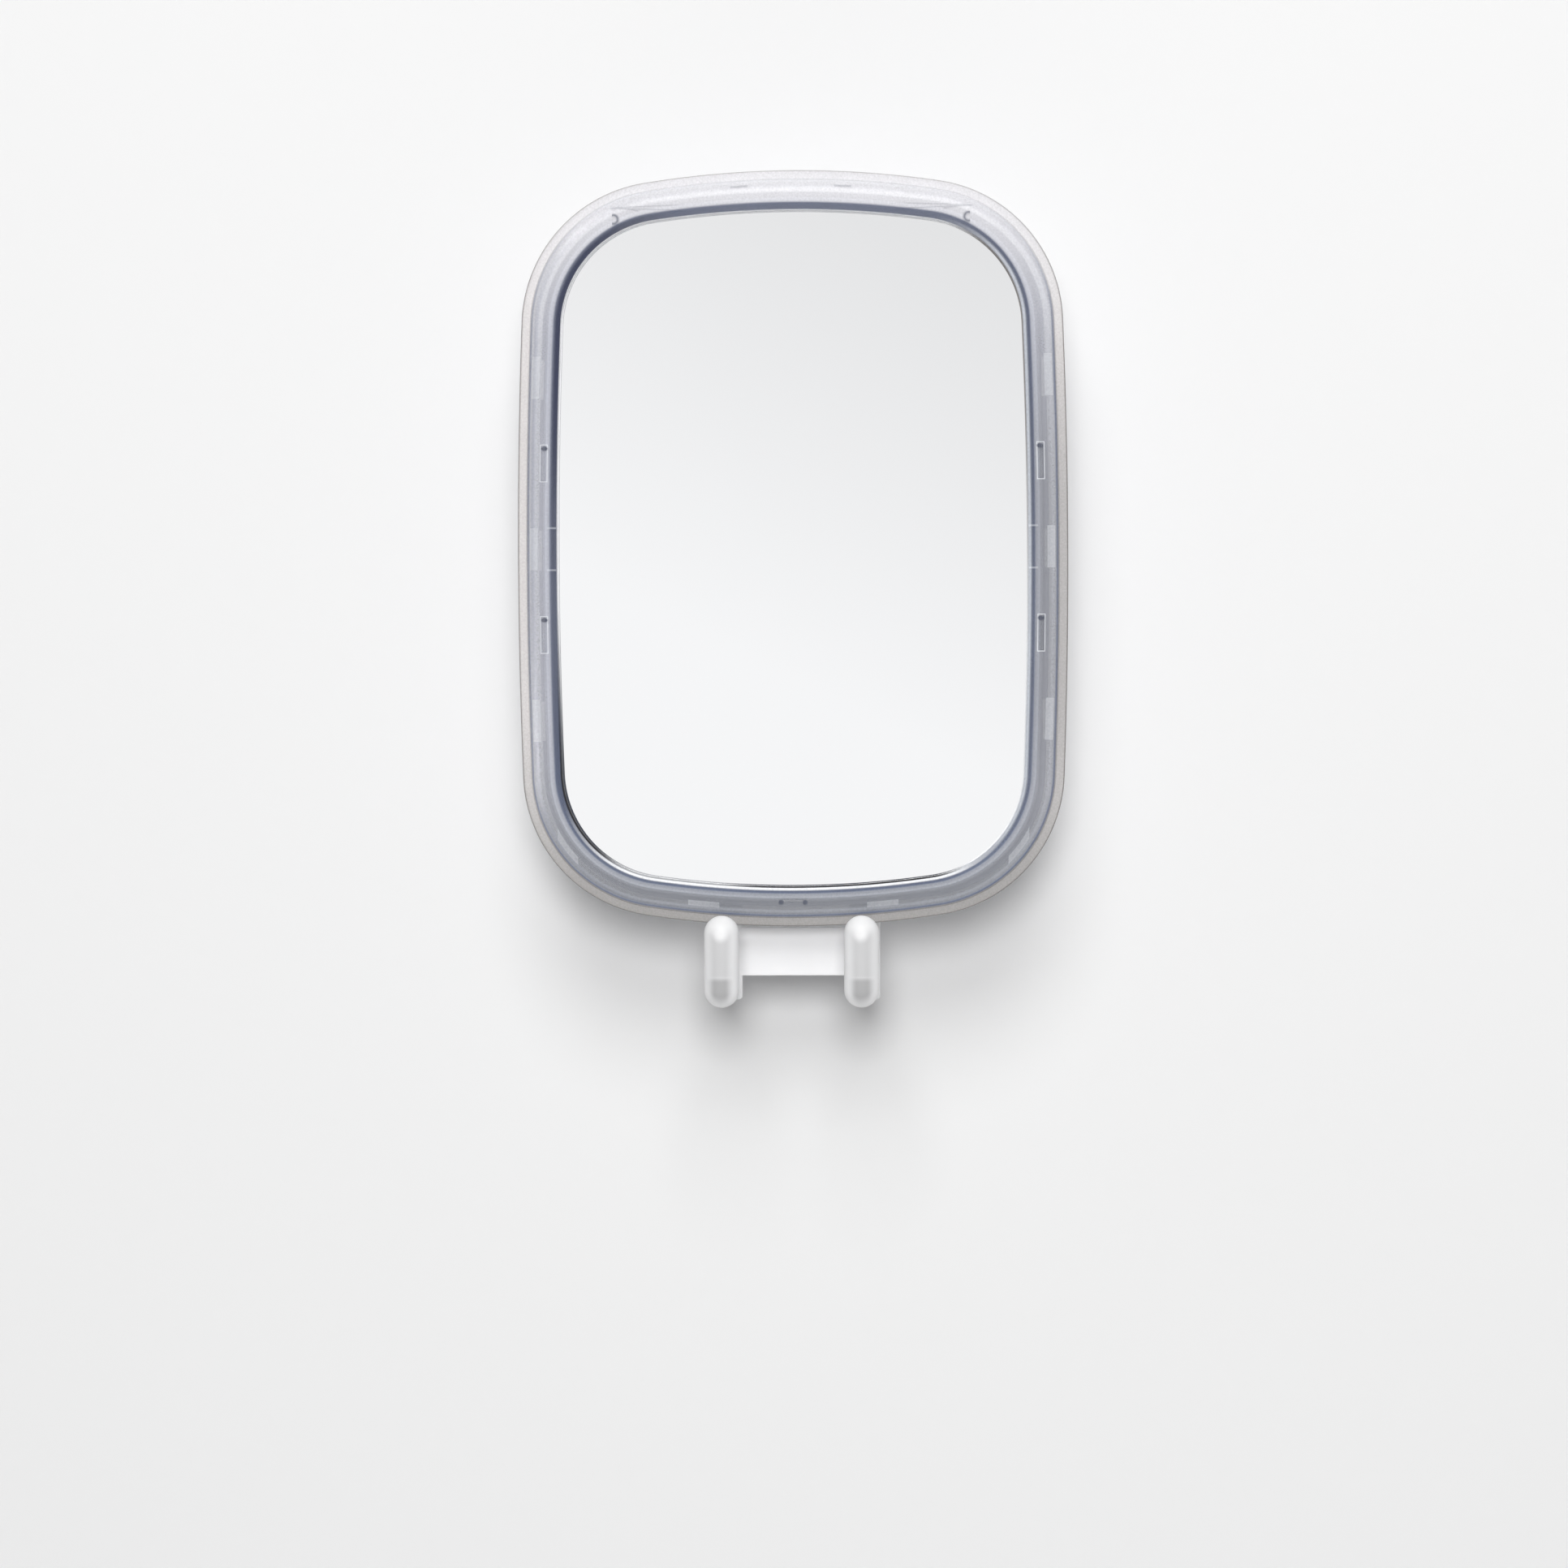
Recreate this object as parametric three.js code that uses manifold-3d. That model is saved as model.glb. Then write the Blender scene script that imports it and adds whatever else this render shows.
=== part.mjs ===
// A fogless shower mirror that hangs on a locking suction mount.
// A see-through frame snaps over a flat tank whose front is the mirror pane. Hot water poured into the
// tank keeps the pane from fogging. Two soft hooks under the frame hold a razor. The tank lifts off the
// suction mount to be filled, and a lever behind it pulls the cup's centre away from the wall.
// Millimetres. +Z is up, the wall is the plane y = 0 and the mirror faces -Y.
// The origin is the centre of the suction cup, on the wall. A depth is a distance from the wall.
import * as THREE from "three";
import { mergeVertices } from "three/addons/utils/BufferGeometryUtils.js";
import Module from "manifold-3d";

const wasm = await Module();
wasm.setup();

// Clearances that all pieces share
const FIT_GAP = 0.3; // between two pieces that touch
const RUN_GAP = 0.4; // between two pieces that slide or turn on each other
const OVERRUN = 1; // how far a cut or a joined foot runs past the face it meets
const MERGE_REACH = 1e-4; // corners nearer than this are one corner

// Outline of the frame and of the window in it
const FRAME_HALF_WIDTH = 82.5;
const FRAME_HALF_HEIGHT = 113.2;
const FRAME_SIDE_BOW = 3.6; // how far the side swells over half the height
const FRAME_TOP_BOW = 12; // how far the top swells over half the width
const FRAME_CORNER_RADIUS = 43.5;
const BAND_WIDTH = 12.1; // from the frame's outer edge to the window
const WINDOW_SIDE_BOW = 3.1;
const WINDOW_TOP_BOW = 8.6;
const WINDOW_CORNER_RADIUS = 32.4;
const SIDE_STEPS = 2; // facets along half a side
const CORNER_STEPS = 8; // facets round a corner
const TOP_STEPS = 3; // facets along half the top
const MIRROR_DROP = 30; // the mirror's centre lies this far below the cup's

// Facets of small round shapes
const CURVE_STEPS = 4; // along one curve of a flat shape
const ROUND_STEPS = 10; // round a screw, boss or pin
const HOLE_STEPS = 8;

// Front frame
const LIP_THICKNESS = 2.6; // where the frame laps over the pane
const LIP_WIDTH = 2.8;
const LIP_EDGE_RADIUS = 1.2;
const LIP_EDGE_STEPS = 2;
const FRAME_WALL = 1.8; // the rest of the frame's front
const FLANGE_WIDTH = 2.7; // the flat rim outside the skirt
const FLANGE_THICKNESS = 1.6;
const FLANGE_EDGE = 0.4; // chamfer of the rim
const FLANGE_STEP = 2.8; // how far the rim lies behind the frame's front
const CROWN_WIDTH = 4.6; // the rounded shoulder between rim and front
const CROWN_STEPS = 3;
const SKIRT_THICKNESS = 1.2;
const SKIRT_LENGTH = 10;

// Snap hooks of the frame and their slots in the tank's rim
const HOOK_PITCH = 25.7; // hooks and rim notches take turns along the sides
const HOOK_INSET = 8.4; // middle of a slot, from the frame's outer edge
const HOOK_SLOT_WIDTH = 2.4;
const SIDE_HOOK_LENGTH = 10;
const LOWER_HOOK_LENGTH = 7.8;
const HOOK_THICKNESS = 1.2;
const HOOK_BARB = 1.1; // how far the barb reaches under the rim
const HOOK_BARB_HEIGHT = 2.2;
const NOTCH_LENGTH = 12;
const NOTCH_WIDTH = 1.3;

// Mirror pane and the two seals that hold it
const PANE_THICKNESS = 3;
const PANE_EDGE = 0.4; // ground edge
const PANE_OVERLAP = 2.6; // of the frame's lip over the pane
const SEAL_THICKNESS = 0.8;
const SEAL_SHOW = 0.25; // how far the seal shows inside the window
const SEAL_SETBACK = 0.2; // from the pane's edge
const GASKET_THICKNESS = 1.2;

// Tank
const TANK_DEPTH = 21.1;
const TANK_WALL = 1.6;
const TANK_INSET = 10.3; // of its wall at the rim, from the frame's outer edge
const TANK_DRAFT = 0.7; // how much the wall leans in towards the back
const TANK_BACK_RADIUS = 3.3; // round edge of the back
const TANK_BACK_STEPS = 2;
const RIM_WIDTH = 4.5; // flange of the tank outside its wall
const RIM_THICKNESS = 2;
const CURB_WIDTH = 1.4; // upright curb round the pane
const CURB_GAP = 0.8; // from the curb to the pane's edge
const MOUTH_HALF_WIDTH = 54; // the open fill mouth in the top wall
const MOUTH_BACK_SETBACK = 3.2; // from the tank's back to the mouth
const MOUTH_FRONT_SETBACK = 4.6; // from the rim to the mouth
const MOUTH_COLLAR_HEIGHT = 2.6; // the low collar round the mouth
const MOUTH_COLLAR_WALL = 1.4;
const BOSS_RADIUS = 3.6; // screw bosses inside the tank
const BOSS_LENGTH = 8;
const BOSS_FLOOR = 1.4; // left at the blind end of a screw hole

// Screws, all with a cross recess
const SCREW_SHANK_RADIUS = 1.4;
const SCREW_HEAD_RADIUS = 2.8;
const SCREW_HEAD_HEIGHT = 1.9;
const SCREW_TIP = 0.9; // length of the pointed end
const CROSS_DEPTH = 1.1;
const CROSS_WIDTH = 0.7;
const CROSS_LENGTH = 2.9;
const SOCKET_SCREW_LENGTH = 7.6;
const PLATE_SCREW_LENGTH = 7;
const HOLDER_SCREW_LENGTH = 7.6;

// Hook plate on the mount, with a wide tongue on a narrow neck
const PLATE_THICKNESS = 2;
const PLATE_HALF_WIDTH = 20.5;
const PLATE_TOP = 3.5; // above the cup's centre
const PLATE_BOTTOM = 26.5; // below it
const PLATE_CORNER = 10;
const TONGUE_TOP = 4; // below the cup's centre
const TONGUE_HEIGHT = 20;
const TONGUE_HALF_WIDTH = 14;
const TONGUE_TOP_HALF_WIDTH = 11.5;
const TONGUE_THICKNESS = 3;
const TONGUE_CORNER = 2;
const NECK_HALF_WIDTH = 9;
const PLATE_SCREW_X = 16.8;
const PLATE_SCREW_TOP = 3.5; // below the cup's centre
const PLATE_SCREW_BOTTOM = 19;

// Socket on the tank's back that hangs over the tongue
const SOCKET_LIP_THICKNESS = 1.8;
const SOCKET_BACK_THICKNESS = 2.4;
const SOCKET_WALL = 2.8;
const SOCKET_CAP = 2.2; // the stop that rests on the tongue
const SOCKET_SKIRT = 2; // how far it reaches below the tongue
const SOCKET_EAR = 8; // ears for the screws
const SOCKET_CORNER = 3;
const SOCKET_SCREW_MARGIN = 5; // from the ear's ends to its screws

// Mount housing, a shallow dish over the cup
const HOUSING_RADIUS = 36;
const HOUSING_FRONT = 17; // depth of its flat front
const HOUSING_WALL = 2.2;
const HOUSING_SHOULDER = 5.5;
const HOUSING_SHOULDER_STEPS = 3;
const HOUSING_DRAFT = 0.7;
const TURNED_STEPS = 32; // facets round the turned pieces
const RIB_THICKNESS = 1.4;
const RIB_INNER_RADIUS = 13;
const RIB_DEPTH = 5; // height of the ribs inside
const RIB_ANGLES = [-170, -142, -38, -10, 18, 162];
const HOUSING_BOSS_RADIUS = 3.1;
const HOUSING_BOSS_LENGTH = 6.5; // behind its front

// Suction cup, with its centre pulled off the wall
const CUP_RADIUS = 38;
const CUP_LIP_INNER_RADIUS = 27;
const CUP_LIP_EDGE = 0.5;
const CUP_LIP_THICKNESS = 2.6;
const CUP_DOME_RADIUS = 18;
const CUP_DOME_LIFT = 2.6; // of its hollow underside
const CUP_CENTRE_LIFT = 3.4;
const CUP_SKIN = 2.4;
const CUP_BOSS_RADIUS = 10.6;
const CUP_BOSS_TOP = 8.1;
const CUP_FLOOR = 1.5; // under the post's foot
const TAB_REACH = 8; // pull tab at the bottom of the cup
const TAB_HALF_WIDTH = 7;
const TAB_THICKNESS = 1.4;
const TAB_LIFT = 0.7;
const TAB_OVERLAP = 4;

// Post that the lever pulls
const POST_RADIUS = 4;
const POST_FOOT_RADIUS = 7.2;
const POST_FOOT_THICKNESS = 1.4;
const POST_PIN_RADIUS = 1.2;
const POST_PIN_DEPTH = 11.6;
const POST_STEPS = 18;

// Lever, its pin and the ears that carry it
const PIVOT_HEIGHT = 12; // above the post's pin
const LEVER_PIN_RADIUS = 2;
const FORK_HALF_WIDTH = 7;
const FORK_THICKNESS = 5.4;
const FORK_END = 4; // below the post's pin
const FORK_THROAT = 6.6; // above the post's pin
const FORK_SLOT_TRAVEL = 1; // the slot is this much longer than the pin is wide
const HUB_RADIUS = 3.2;
const SHANK_HALF_WIDTH = 5.4;
const SHANK_THICKNESS = 4;
const SHANK_BOTTOM = 20;
const SHANK_TOP = 42;
const HANDLE_HALF_WIDTH = 10;
const HANDLE_WIDE = 52;
const HANDLE_END = 66;
const HANDLE_CORNER = 5;
const HANDLE_THICKNESS = 3.4;
const HANDLE_SETBACK = 2.6; // the handle lies this much nearer the wall than the pin
const GRIP_GROOVES = 4;
const GRIP_PITCH = 2.6;
const GRIP_RADIUS = 0.8;
const GRIP_BITE = 0.45;
const LEVER_SIDE_GAP = 1; // from the lever to the slot it swings in
const EAR_THICKNESS = 3;
const EAR_RADIUS = 4;

// Razor holder
const HOLDER_X = 20.8; // the hooks' middles, either side of the middle
const HOLDER_DEPTH = 40; // of its plate's back
const HOLDER_THICKNESS = 2.4;
const HOLDER_TOP_GAP = 0.6; // from the frame's lower edge down to its plate
const HOLDER_PLATE_HEIGHT = 14.6;
const HOLDER_CORNER = 3;
const HOLDER_TAB_HALF_WIDTH = 4.6;
const HOLDER_FOOT_LENGTH = 11;
const HOLDER_FOOT_THICKNESS = 2.2;
const HOLDER_PAD_INSET = 9.9; // the tank's flat pads for its feet, from the frame's edge
const HOLDER_PAD_HEIGHT = 2.4;
const HOLDER_SCREW_SETBACK = 4; // from the plate's back to the screws
const GUSSET_REACH = 7;
const GUSSET_THICKNESS = 1.1;
const ARM_HALF_WIDTH = 3;
const ARM_HEIGHT = 8.4;
const FINGER_THICKNESS = 4.6;
const FINGER_BEND = 4.2; // round outer bend below the finger
const FINGER_INNER_BEND = 1.6;

// Soft sleeves over the holder's fingers
const SLEEVE_RADIUS = 5.2;
const SLEEVE_HEIGHT = 27.3;
const SLEEVE_RISE = 3.5; // its top above the frame's lower edge
const SLEEVE_FRONT_GAP = 5; // from the frame's front to the sleeve's back
const SLEEVE_FLOOR = 1.4; // under the arm
const SLEEVE_CROWN = 6; // over the finger's top
const SLEEVE_STEPS = 16;
const SLEEVE_CAP_STEPS = 4;

// Depths of the stacked pieces, from the wall outwards
const plateFront = HOUSING_FRONT + FIT_GAP + PLATE_THICKNESS;
const socketBack = plateFront + FIT_GAP;
const tongueBack = socketBack + SOCKET_LIP_THICKNESS + FIT_GAP;
const tongueFront = tongueBack + TONGUE_THICKNESS;
const socketFloor = tongueFront + FIT_GAP;
const socketFront = socketFloor + SOCKET_BACK_THICKNESS;
const tankBack = socketFront + FIT_GAP;
const tankRim = tankBack + TANK_DEPTH;
const gasketBack = tankRim + FIT_GAP;
const gasketFront = gasketBack + GASKET_THICKNESS;
const paneBack = gasketFront + FIT_GAP;
const paneFront = paneBack + PANE_THICKNESS;
const sealBack = paneFront + FIT_GAP;
const sealFront = sealBack + SEAL_THICKNESS;
const lipBack = sealFront + FIT_GAP;
const frameFront = lipBack + LIP_THICKNESS;
const flangeFront = frameFront - FLANGE_STEP;
const flangeBack = flangeFront - FLANGE_THICKNESS;
const skirtBack = flangeBack - SKIRT_LENGTH;
const frameInside = frameFront - FRAME_WALL;
const paneInset = BAND_WIDTH - PANE_OVERLAP;
const curbInset = paneInset - CURB_GAP;
const rimInset = TANK_INSET - RIM_WIDTH;
const rimBack = tankRim - RIM_THICKNESS;
const screwHole = SCREW_SHANK_RADIUS + FIT_GAP;

// Solids: closed meshes with merged corners, which manifold-3d joins and cuts
function solidFrom(geometry) {
  const bare = new THREE.BufferGeometry();
  bare.setAttribute("position", geometry.getAttribute("position"));
  bare.setIndex(geometry.getIndex());
  const merged = mergeVertices(bare, MERGE_REACH);
  const source = merged.getIndex().array;
  const corners = [];
  for (let i = 0; i < source.length; i += 3) {
    const [a, b, c] = source.slice(i, i + 3);
    if (a !== b && b !== c && c !== a) corners.push(a, b, c);
  }
  return new wasm.Manifold(
    new wasm.Mesh({
      numProp: 3,
      vertProperties: new Float32Array(merged.getAttribute("position").array),
      triVerts: new Uint32Array(corners),
    }),
  );
}

function join(...solids) {
  return solids.reduce((whole, solid) => whole.add(solid));
}

function cut(whole, ...tools) {
  return tools.reduce((rest, tool) => rest.subtract(tool), whole);
}

function mesh(name, solid, look) {
  const made = solid.getMesh();
  const geometry = new THREE.BufferGeometry();
  geometry.setAttribute("position", new THREE.BufferAttribute(made.vertProperties, made.numProp));
  geometry.setIndex(new THREE.BufferAttribute(made.triVerts, 1));
  geometry.computeVertexNormals();
  const piece = new THREE.Mesh(geometry, look);
  piece.name = name;
  return piece;
}

// A grid of points, rows by columns, closed round its columns. Its first and last rows are joined to
// each other, or else each is closed with a fan.
function gridSolid(rows, loops) {
  const columns = rows[0].length;
  const points = rows.flat();
  const corners = [];
  const last = loops ? rows.length : rows.length - 1;
  for (let r = 0; r < last; r++) {
    const below = r * columns;
    const above = ((r + 1) % rows.length) * columns;
    for (let c = 0; c < columns; c++) {
      const next = (c + 1) % columns;
      corners.push(below + c, below + next, above + next);
      corners.push(below + c, above + next, above + c);
    }
  }
  if (!loops) {
    for (const [row, turn] of [[0, 1], [rows.length - 1, 0]]) {
      const middle = points.length;
      const sum = rows[row].reduce((total, p) => total.add(p), new THREE.Vector3());
      points.push(sum.divideScalar(columns));
      for (let c = 0; c < columns; c++) {
        const here = row * columns + c;
        const next = row * columns + ((c + 1) % columns);
        corners.push(middle, turn ? next : here, turn ? here : next);
      }
    }
  }
  const geometry = new THREE.BufferGeometry().setFromPoints(points);
  geometry.setIndex(corners);
  return solidFrom(geometry);
}

// An outline runs three smooth arcs to the quarter: a long one up the side, one round the corner and a
// long one along the top. The inset moves it from the frame's outer edge towards the window.
function quarterOutline(inset) {
  const share = inset / BAND_WIDTH;
  const mix = (outer, inner) => outer + (inner - outer) * share;
  const halfWidth = FRAME_HALF_WIDTH - inset;
  const halfHeight = FRAME_HALF_HEIGHT - inset;
  const sideBow = mix(FRAME_SIDE_BOW, WINDOW_SIDE_BOW);
  const topBow = mix(FRAME_TOP_BOW, WINDOW_TOP_BOW);
  const corner = mix(FRAME_CORNER_RADIUS, WINDOW_CORNER_RADIUS);
  const sideRadius = (halfHeight ** 2 + sideBow ** 2) / (2 * sideBow);
  const topRadius = (halfWidth ** 2 + topBow ** 2) / (2 * topBow);
  const sideMiddle = new THREE.Vector2(halfWidth - sideRadius, 0);
  const topMiddle = new THREE.Vector2(0, halfHeight - topRadius);
  // The corner's middle lies one known distance from each of the other two.
  const apart = sideMiddle.distanceTo(topMiddle);
  const fromSide = sideRadius - corner;
  const fromTop = topRadius - corner;
  const along = (apart ** 2 + fromSide ** 2 - fromTop ** 2) / (2 * apart);
  const across = Math.sqrt(fromSide ** 2 - along ** 2);
  const line = topMiddle.clone().sub(sideMiddle).normalize();
  const cornerMiddle = sideMiddle.clone().addScaledVector(line, along);
  cornerMiddle.add(new THREE.Vector2(-line.y, line.x).multiplyScalar(across));
  const low = cornerMiddle.clone().sub(sideMiddle).angle();
  const high = cornerMiddle.clone().sub(topMiddle).angle();
  const arc = (middle, radius, from, to, steps) =>
    Array.from({ length: steps }, (_, k) => {
      const angle = from + ((to - from) * k) / steps;
      return new THREE.Vector2(Math.cos(angle), Math.sin(angle)).multiplyScalar(radius).add(middle);
    });
  return [
    ...arc(sideMiddle, sideRadius, 0, low, SIDE_STEPS),
    ...arc(cornerMiddle, corner, low, high, CORNER_STEPS),
    ...arc(topMiddle, topRadius, high, Math.PI / 2, TOP_STEPS),
    new THREE.Vector2(0, halfHeight),
  ];
}

// The whole outline at one inset and depth, as points round the mirror's centre
function outline(inset, depth) {
  const quarter = quarterOutline(inset);
  const mirrored = quarter.slice(0, -1).reverse();
  const upper = [...quarter, ...mirrored.map((p) => new THREE.Vector2(-p.x, p.y))];
  const turnedDown = upper.slice(1, -1).reverse();
  const lower = turnedDown.map((p) => new THREE.Vector2(p.x, -p.y));
  return [...upper, ...lower].map((p) => new THREE.Vector3(p.x, -depth, p.y));
}

// A closed profile of insets and depths carried round the outline
function ringSolid(profile) {
  return gridSolid(profile.map(([inset, depth]) => outline(inset, depth)), true);
}

// Levels of insets and depths stacked from one flat end to the other
function stackSolid(levels) {
  return gridSolid(levels.map(([inset, depth]) => outline(inset, depth)), false);
}

// A profile of radii and depths turned round the cup's axis
function turned(profile, steps) {
  const points = profile.map(([radius, depth]) => new THREE.Vector2(radius, -depth));
  return solidFrom(new THREE.LatheGeometry(points, steps));
}

function extruded(shape, length) {
  const settings = { depth: length, bevelEnabled: false, curveSegments: CURVE_STEPS };
  return new THREE.ExtrudeGeometry(shape, settings);
}

// A shape seen from the front, from one depth to another
function plate(shape, back, front) {
  return solidFrom(extruded(shape, front - back).rotateX(Math.PI / 2).translate(0, -back, 0));
}

// A shape of depths and heights, seen from the side, between two places along X
function slab(shape, left, right) {
  const turn = new THREE.Matrix4().makeBasis(
    new THREE.Vector3(0, -1, 0),
    new THREE.Vector3(0, 0, 1),
    new THREE.Vector3(-1, 0, 0),
  );
  return solidFrom(extruded(shape, right - left).applyMatrix4(turn).translate(right, 0, 0));
}

// A shape of places along X and depths, seen from above, between two heights
function column(shape, bottom, top) {
  return solidFrom(extruded(shape, top - bottom).rotateX(Math.PI).translate(0, 0, top));
}

function box(left, right, back, front, bottom, top) {
  const geometry = new THREE.BoxGeometry(right - left, front - back, top - bottom);
  return solidFrom(geometry.translate((left + right) / 2, -(back + front) / 2, (bottom + top) / 2));
}

function polygon(points) {
  return new THREE.Shape(points.map(([x, y]) => new THREE.Vector2(x, y)));
}

// A rectangle with round corners
function roundRect(left, right, bottom, top, radius) {
  const r = Math.min(radius, (right - left) / 2, (top - bottom) / 2);
  const shape = new THREE.Shape();
  shape.absarc(right - r, top - r, r, 0, Math.PI / 2);
  shape.absarc(left + r, top - r, r, Math.PI / 2, Math.PI);
  shape.absarc(left + r, bottom + r, r, Math.PI, 1.5 * Math.PI);
  shape.absarc(right - r, bottom + r, r, 1.5 * Math.PI, 2 * Math.PI);
  return shape;
}

// Round rods along each of the three axes
function rodX(radius, left, right, depth, height, steps) {
  const rod = new THREE.CylinderGeometry(radius, radius, right - left, steps).rotateZ(Math.PI / 2);
  return solidFrom(rod.translate((left + right) / 2, -depth, height));
}

function rodY(radius, x, back, front, height, steps) {
  const rod = new THREE.CylinderGeometry(radius, radius, front - back, steps);
  return solidFrom(rod.translate(x, -(back + front) / 2, height));
}

function rodZ(radius, x, depth, bottom, top, steps) {
  const rod = new THREE.CylinderGeometry(radius, radius, top - bottom, steps).rotateX(Math.PI / 2);
  return solidFrom(rod.translate(x, -depth, (bottom + top) / 2));
}

// Looks
const clearPlastic = new THREE.MeshStandardMaterial({
  color: 0xc3c9d6,
  roughness: 0.12,
  metalness: 0,
  transparent: true,
  opacity: 0.5,
});
const mirrorGlass = new THREE.MeshStandardMaterial({ color: 0xe9eaec, roughness: 0.03, metalness: 1 });
const darkRubber = new THREE.MeshStandardMaterial({ color: 0x23262e, roughness: 0.6, metalness: 0 });
const whitePlastic = new THREE.MeshStandardMaterial({ color: 0xf1f1f2, roughness: 0.35, metalness: 0 });
const softSleeve = new THREE.MeshStandardMaterial({ color: 0xe9eaf0, roughness: 0.5, metalness: 0 });
const clearRubber = new THREE.MeshStandardMaterial({
  color: 0xdfe4ea,
  roughness: 0.2,
  metalness: 0,
  transparent: true,
  opacity: 0.6,
});
const steel = new THREE.MeshStandardMaterial({ color: 0xc8cacd, roughness: 0.25, metalness: 1 });

// How far the side's outline has drawn in at a height
function sideBowAt(height) {
  return FRAME_SIDE_BOW * (height / FRAME_HALF_HEIGHT) ** 2;
}

const sideHookHeights = [-HOOK_PITCH, HOOK_PITCH];
const notchHeights = [-2 * HOOK_PITCH, 0, 2 * HOOK_PITCH];
const hookInner = paneInset - RUN_GAP;
const hookOuter = hookInner - HOOK_THICKNESS;

// A hook's section: a stem that hangs from the frame's inside, with a barb that catches the tank's rim
// from behind. Insets run one way, and place() turns them into places.
function hookSection(place) {
  const root = frameInside + OVERRUN;
  const catchDepth = rimBack - FIT_GAP;
  return polygon([
    [place(hookInner), root],
    [place(hookInner), catchDepth - HOOK_BARB_HEIGHT],
    [place(hookOuter), catchDepth - HOOK_BARB_HEIGHT],
    [place(hookOuter - HOOK_BARB), catchDepth],
    [place(hookOuter), catchDepth],
    [place(hookOuter), root],
  ]);
}

function sideHook(side, height) {
  const edge = FRAME_HALF_WIDTH - sideBowAt(height);
  const section = hookSection((inset) => side * (edge - inset));
  return column(section, height - SIDE_HOOK_LENGTH / 2, height + SIDE_HOOK_LENGTH / 2);
}

function lowerHook() {
  const section = hookSection((inset) => inset - FRAME_HALF_HEIGHT);
  const swapped = section.getPoints().map((p) => new THREE.Vector2(p.y, p.x));
  return slab(new THREE.Shape(swapped), -LOWER_HOOK_LENGTH / 2, LOWER_HOOK_LENGTH / 2);
}

function frontFrame() {
  const crown = Array.from({ length: CROWN_STEPS }, (_, k) => {
    const angle = (((k + 1) / CROWN_STEPS) * Math.PI) / 2;
    return [
      FLANGE_WIDTH + CROWN_WIDTH * (1 - Math.cos(angle)),
      flangeFront + FLANGE_STEP * Math.sin(angle),
    ];
  });
  const lipMiddle = [BAND_WIDTH - LIP_EDGE_RADIUS, frameFront - LIP_EDGE_RADIUS];
  const lipEdge = Array.from({ length: LIP_EDGE_STEPS + 1 }, (_, k) => {
    const angle = ((k / LIP_EDGE_STEPS) * Math.PI) / 2;
    return [
      lipMiddle[0] + LIP_EDGE_RADIUS * Math.sin(angle),
      lipMiddle[1] + LIP_EDGE_RADIUS * Math.cos(angle),
    ];
  });
  const ring = ringSolid([
    [0, flangeBack + FLANGE_EDGE],
    [0, flangeFront - FLANGE_EDGE],
    [FLANGE_EDGE, flangeFront],
    [FLANGE_WIDTH, flangeFront],
    ...crown,
    ...lipEdge,
    [BAND_WIDTH, lipBack],
    [BAND_WIDTH - LIP_WIDTH, lipBack],
    [BAND_WIDTH - LIP_WIDTH, frameInside],
    [FLANGE_WIDTH + CROWN_WIDTH, frameInside],
    [FLANGE_WIDTH + SKIRT_THICKNESS, flangeFront],
    [FLANGE_WIDTH + SKIRT_THICKNESS, skirtBack],
    [FLANGE_WIDTH, skirtBack],
    [FLANGE_WIDTH, flangeBack],
    [FLANGE_EDGE, flangeBack],
  ]);
  const hooks = [-1, 1].flatMap((side) => sideHookHeights.map((height) => sideHook(side, height)));
  return mesh("front_frame", join(ring, ...hooks, lowerHook()), clearPlastic);
}

function mirrorPane() {
  const pane = stackSolid([
    [paneInset + PANE_EDGE, paneBack],
    [paneInset, paneBack + PANE_EDGE],
    [paneInset, paneFront - PANE_EDGE],
    [paneInset + PANE_EDGE, paneFront],
  ]);
  return mesh("mirror_pane", pane, mirrorGlass);
}

function paneSeal() {
  const outer = paneInset + SEAL_SETBACK;
  const inner = BAND_WIDTH + SEAL_SHOW;
  const seal = ringSolid([
    [outer, sealBack],
    [outer, sealFront],
    [inner, sealFront],
    [inner, sealBack],
  ]);
  return mesh("pane_seal", seal, darkRubber);
}

function tankGasket() {
  const outer = paneInset + SEAL_SETBACK;
  const inner = TANK_INSET + TANK_WALL - SEAL_SETBACK;
  const shoulder = (outer + inner) / 2;
  const bead = gasketFront - GASKET_THICKNESS / 3;
  const gasket = ringSolid([
    [outer, gasketBack],
    [outer, bead],
    [shoulder, gasketFront],
    [inner, bead],
    [inner, gasketBack],
  ]);
  return mesh("tank_gasket", gasket, darkRubber);
}

const mouthBack = tankBack + MOUTH_BACK_SETBACK;
const mouthFront = rimBack - MOUTH_FRONT_SETBACK;
const socketTop = MIRROR_DROP - TONGUE_TOP + FIT_GAP + SOCKET_CAP;
const socketBottom = MIRROR_DROP - TONGUE_TOP - TONGUE_HEIGHT - SOCKET_SKIRT;
const socketHalfWidth = TONGUE_HALF_WIDTH + RUN_GAP + SOCKET_WALL;
const socketScrewX = socketHalfWidth + SOCKET_EAR / 2;
const socketScrewHeights = [socketBottom + SOCKET_SCREW_MARGIN, socketTop - SOCKET_SCREW_MARGIN];
const socketScrewPlaces = [-1, 1].flatMap((side) =>
  socketScrewHeights.map((z) => [side * socketScrewX, z]),
);
const padFace = HOLDER_PAD_INSET - FRAME_HALF_HEIGHT;
const holderFront = HOLDER_DEPTH + HOLDER_THICKNESS;
const holderScrewDepth = HOLDER_DEPTH - HOLDER_SCREW_SETBACK;

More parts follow.
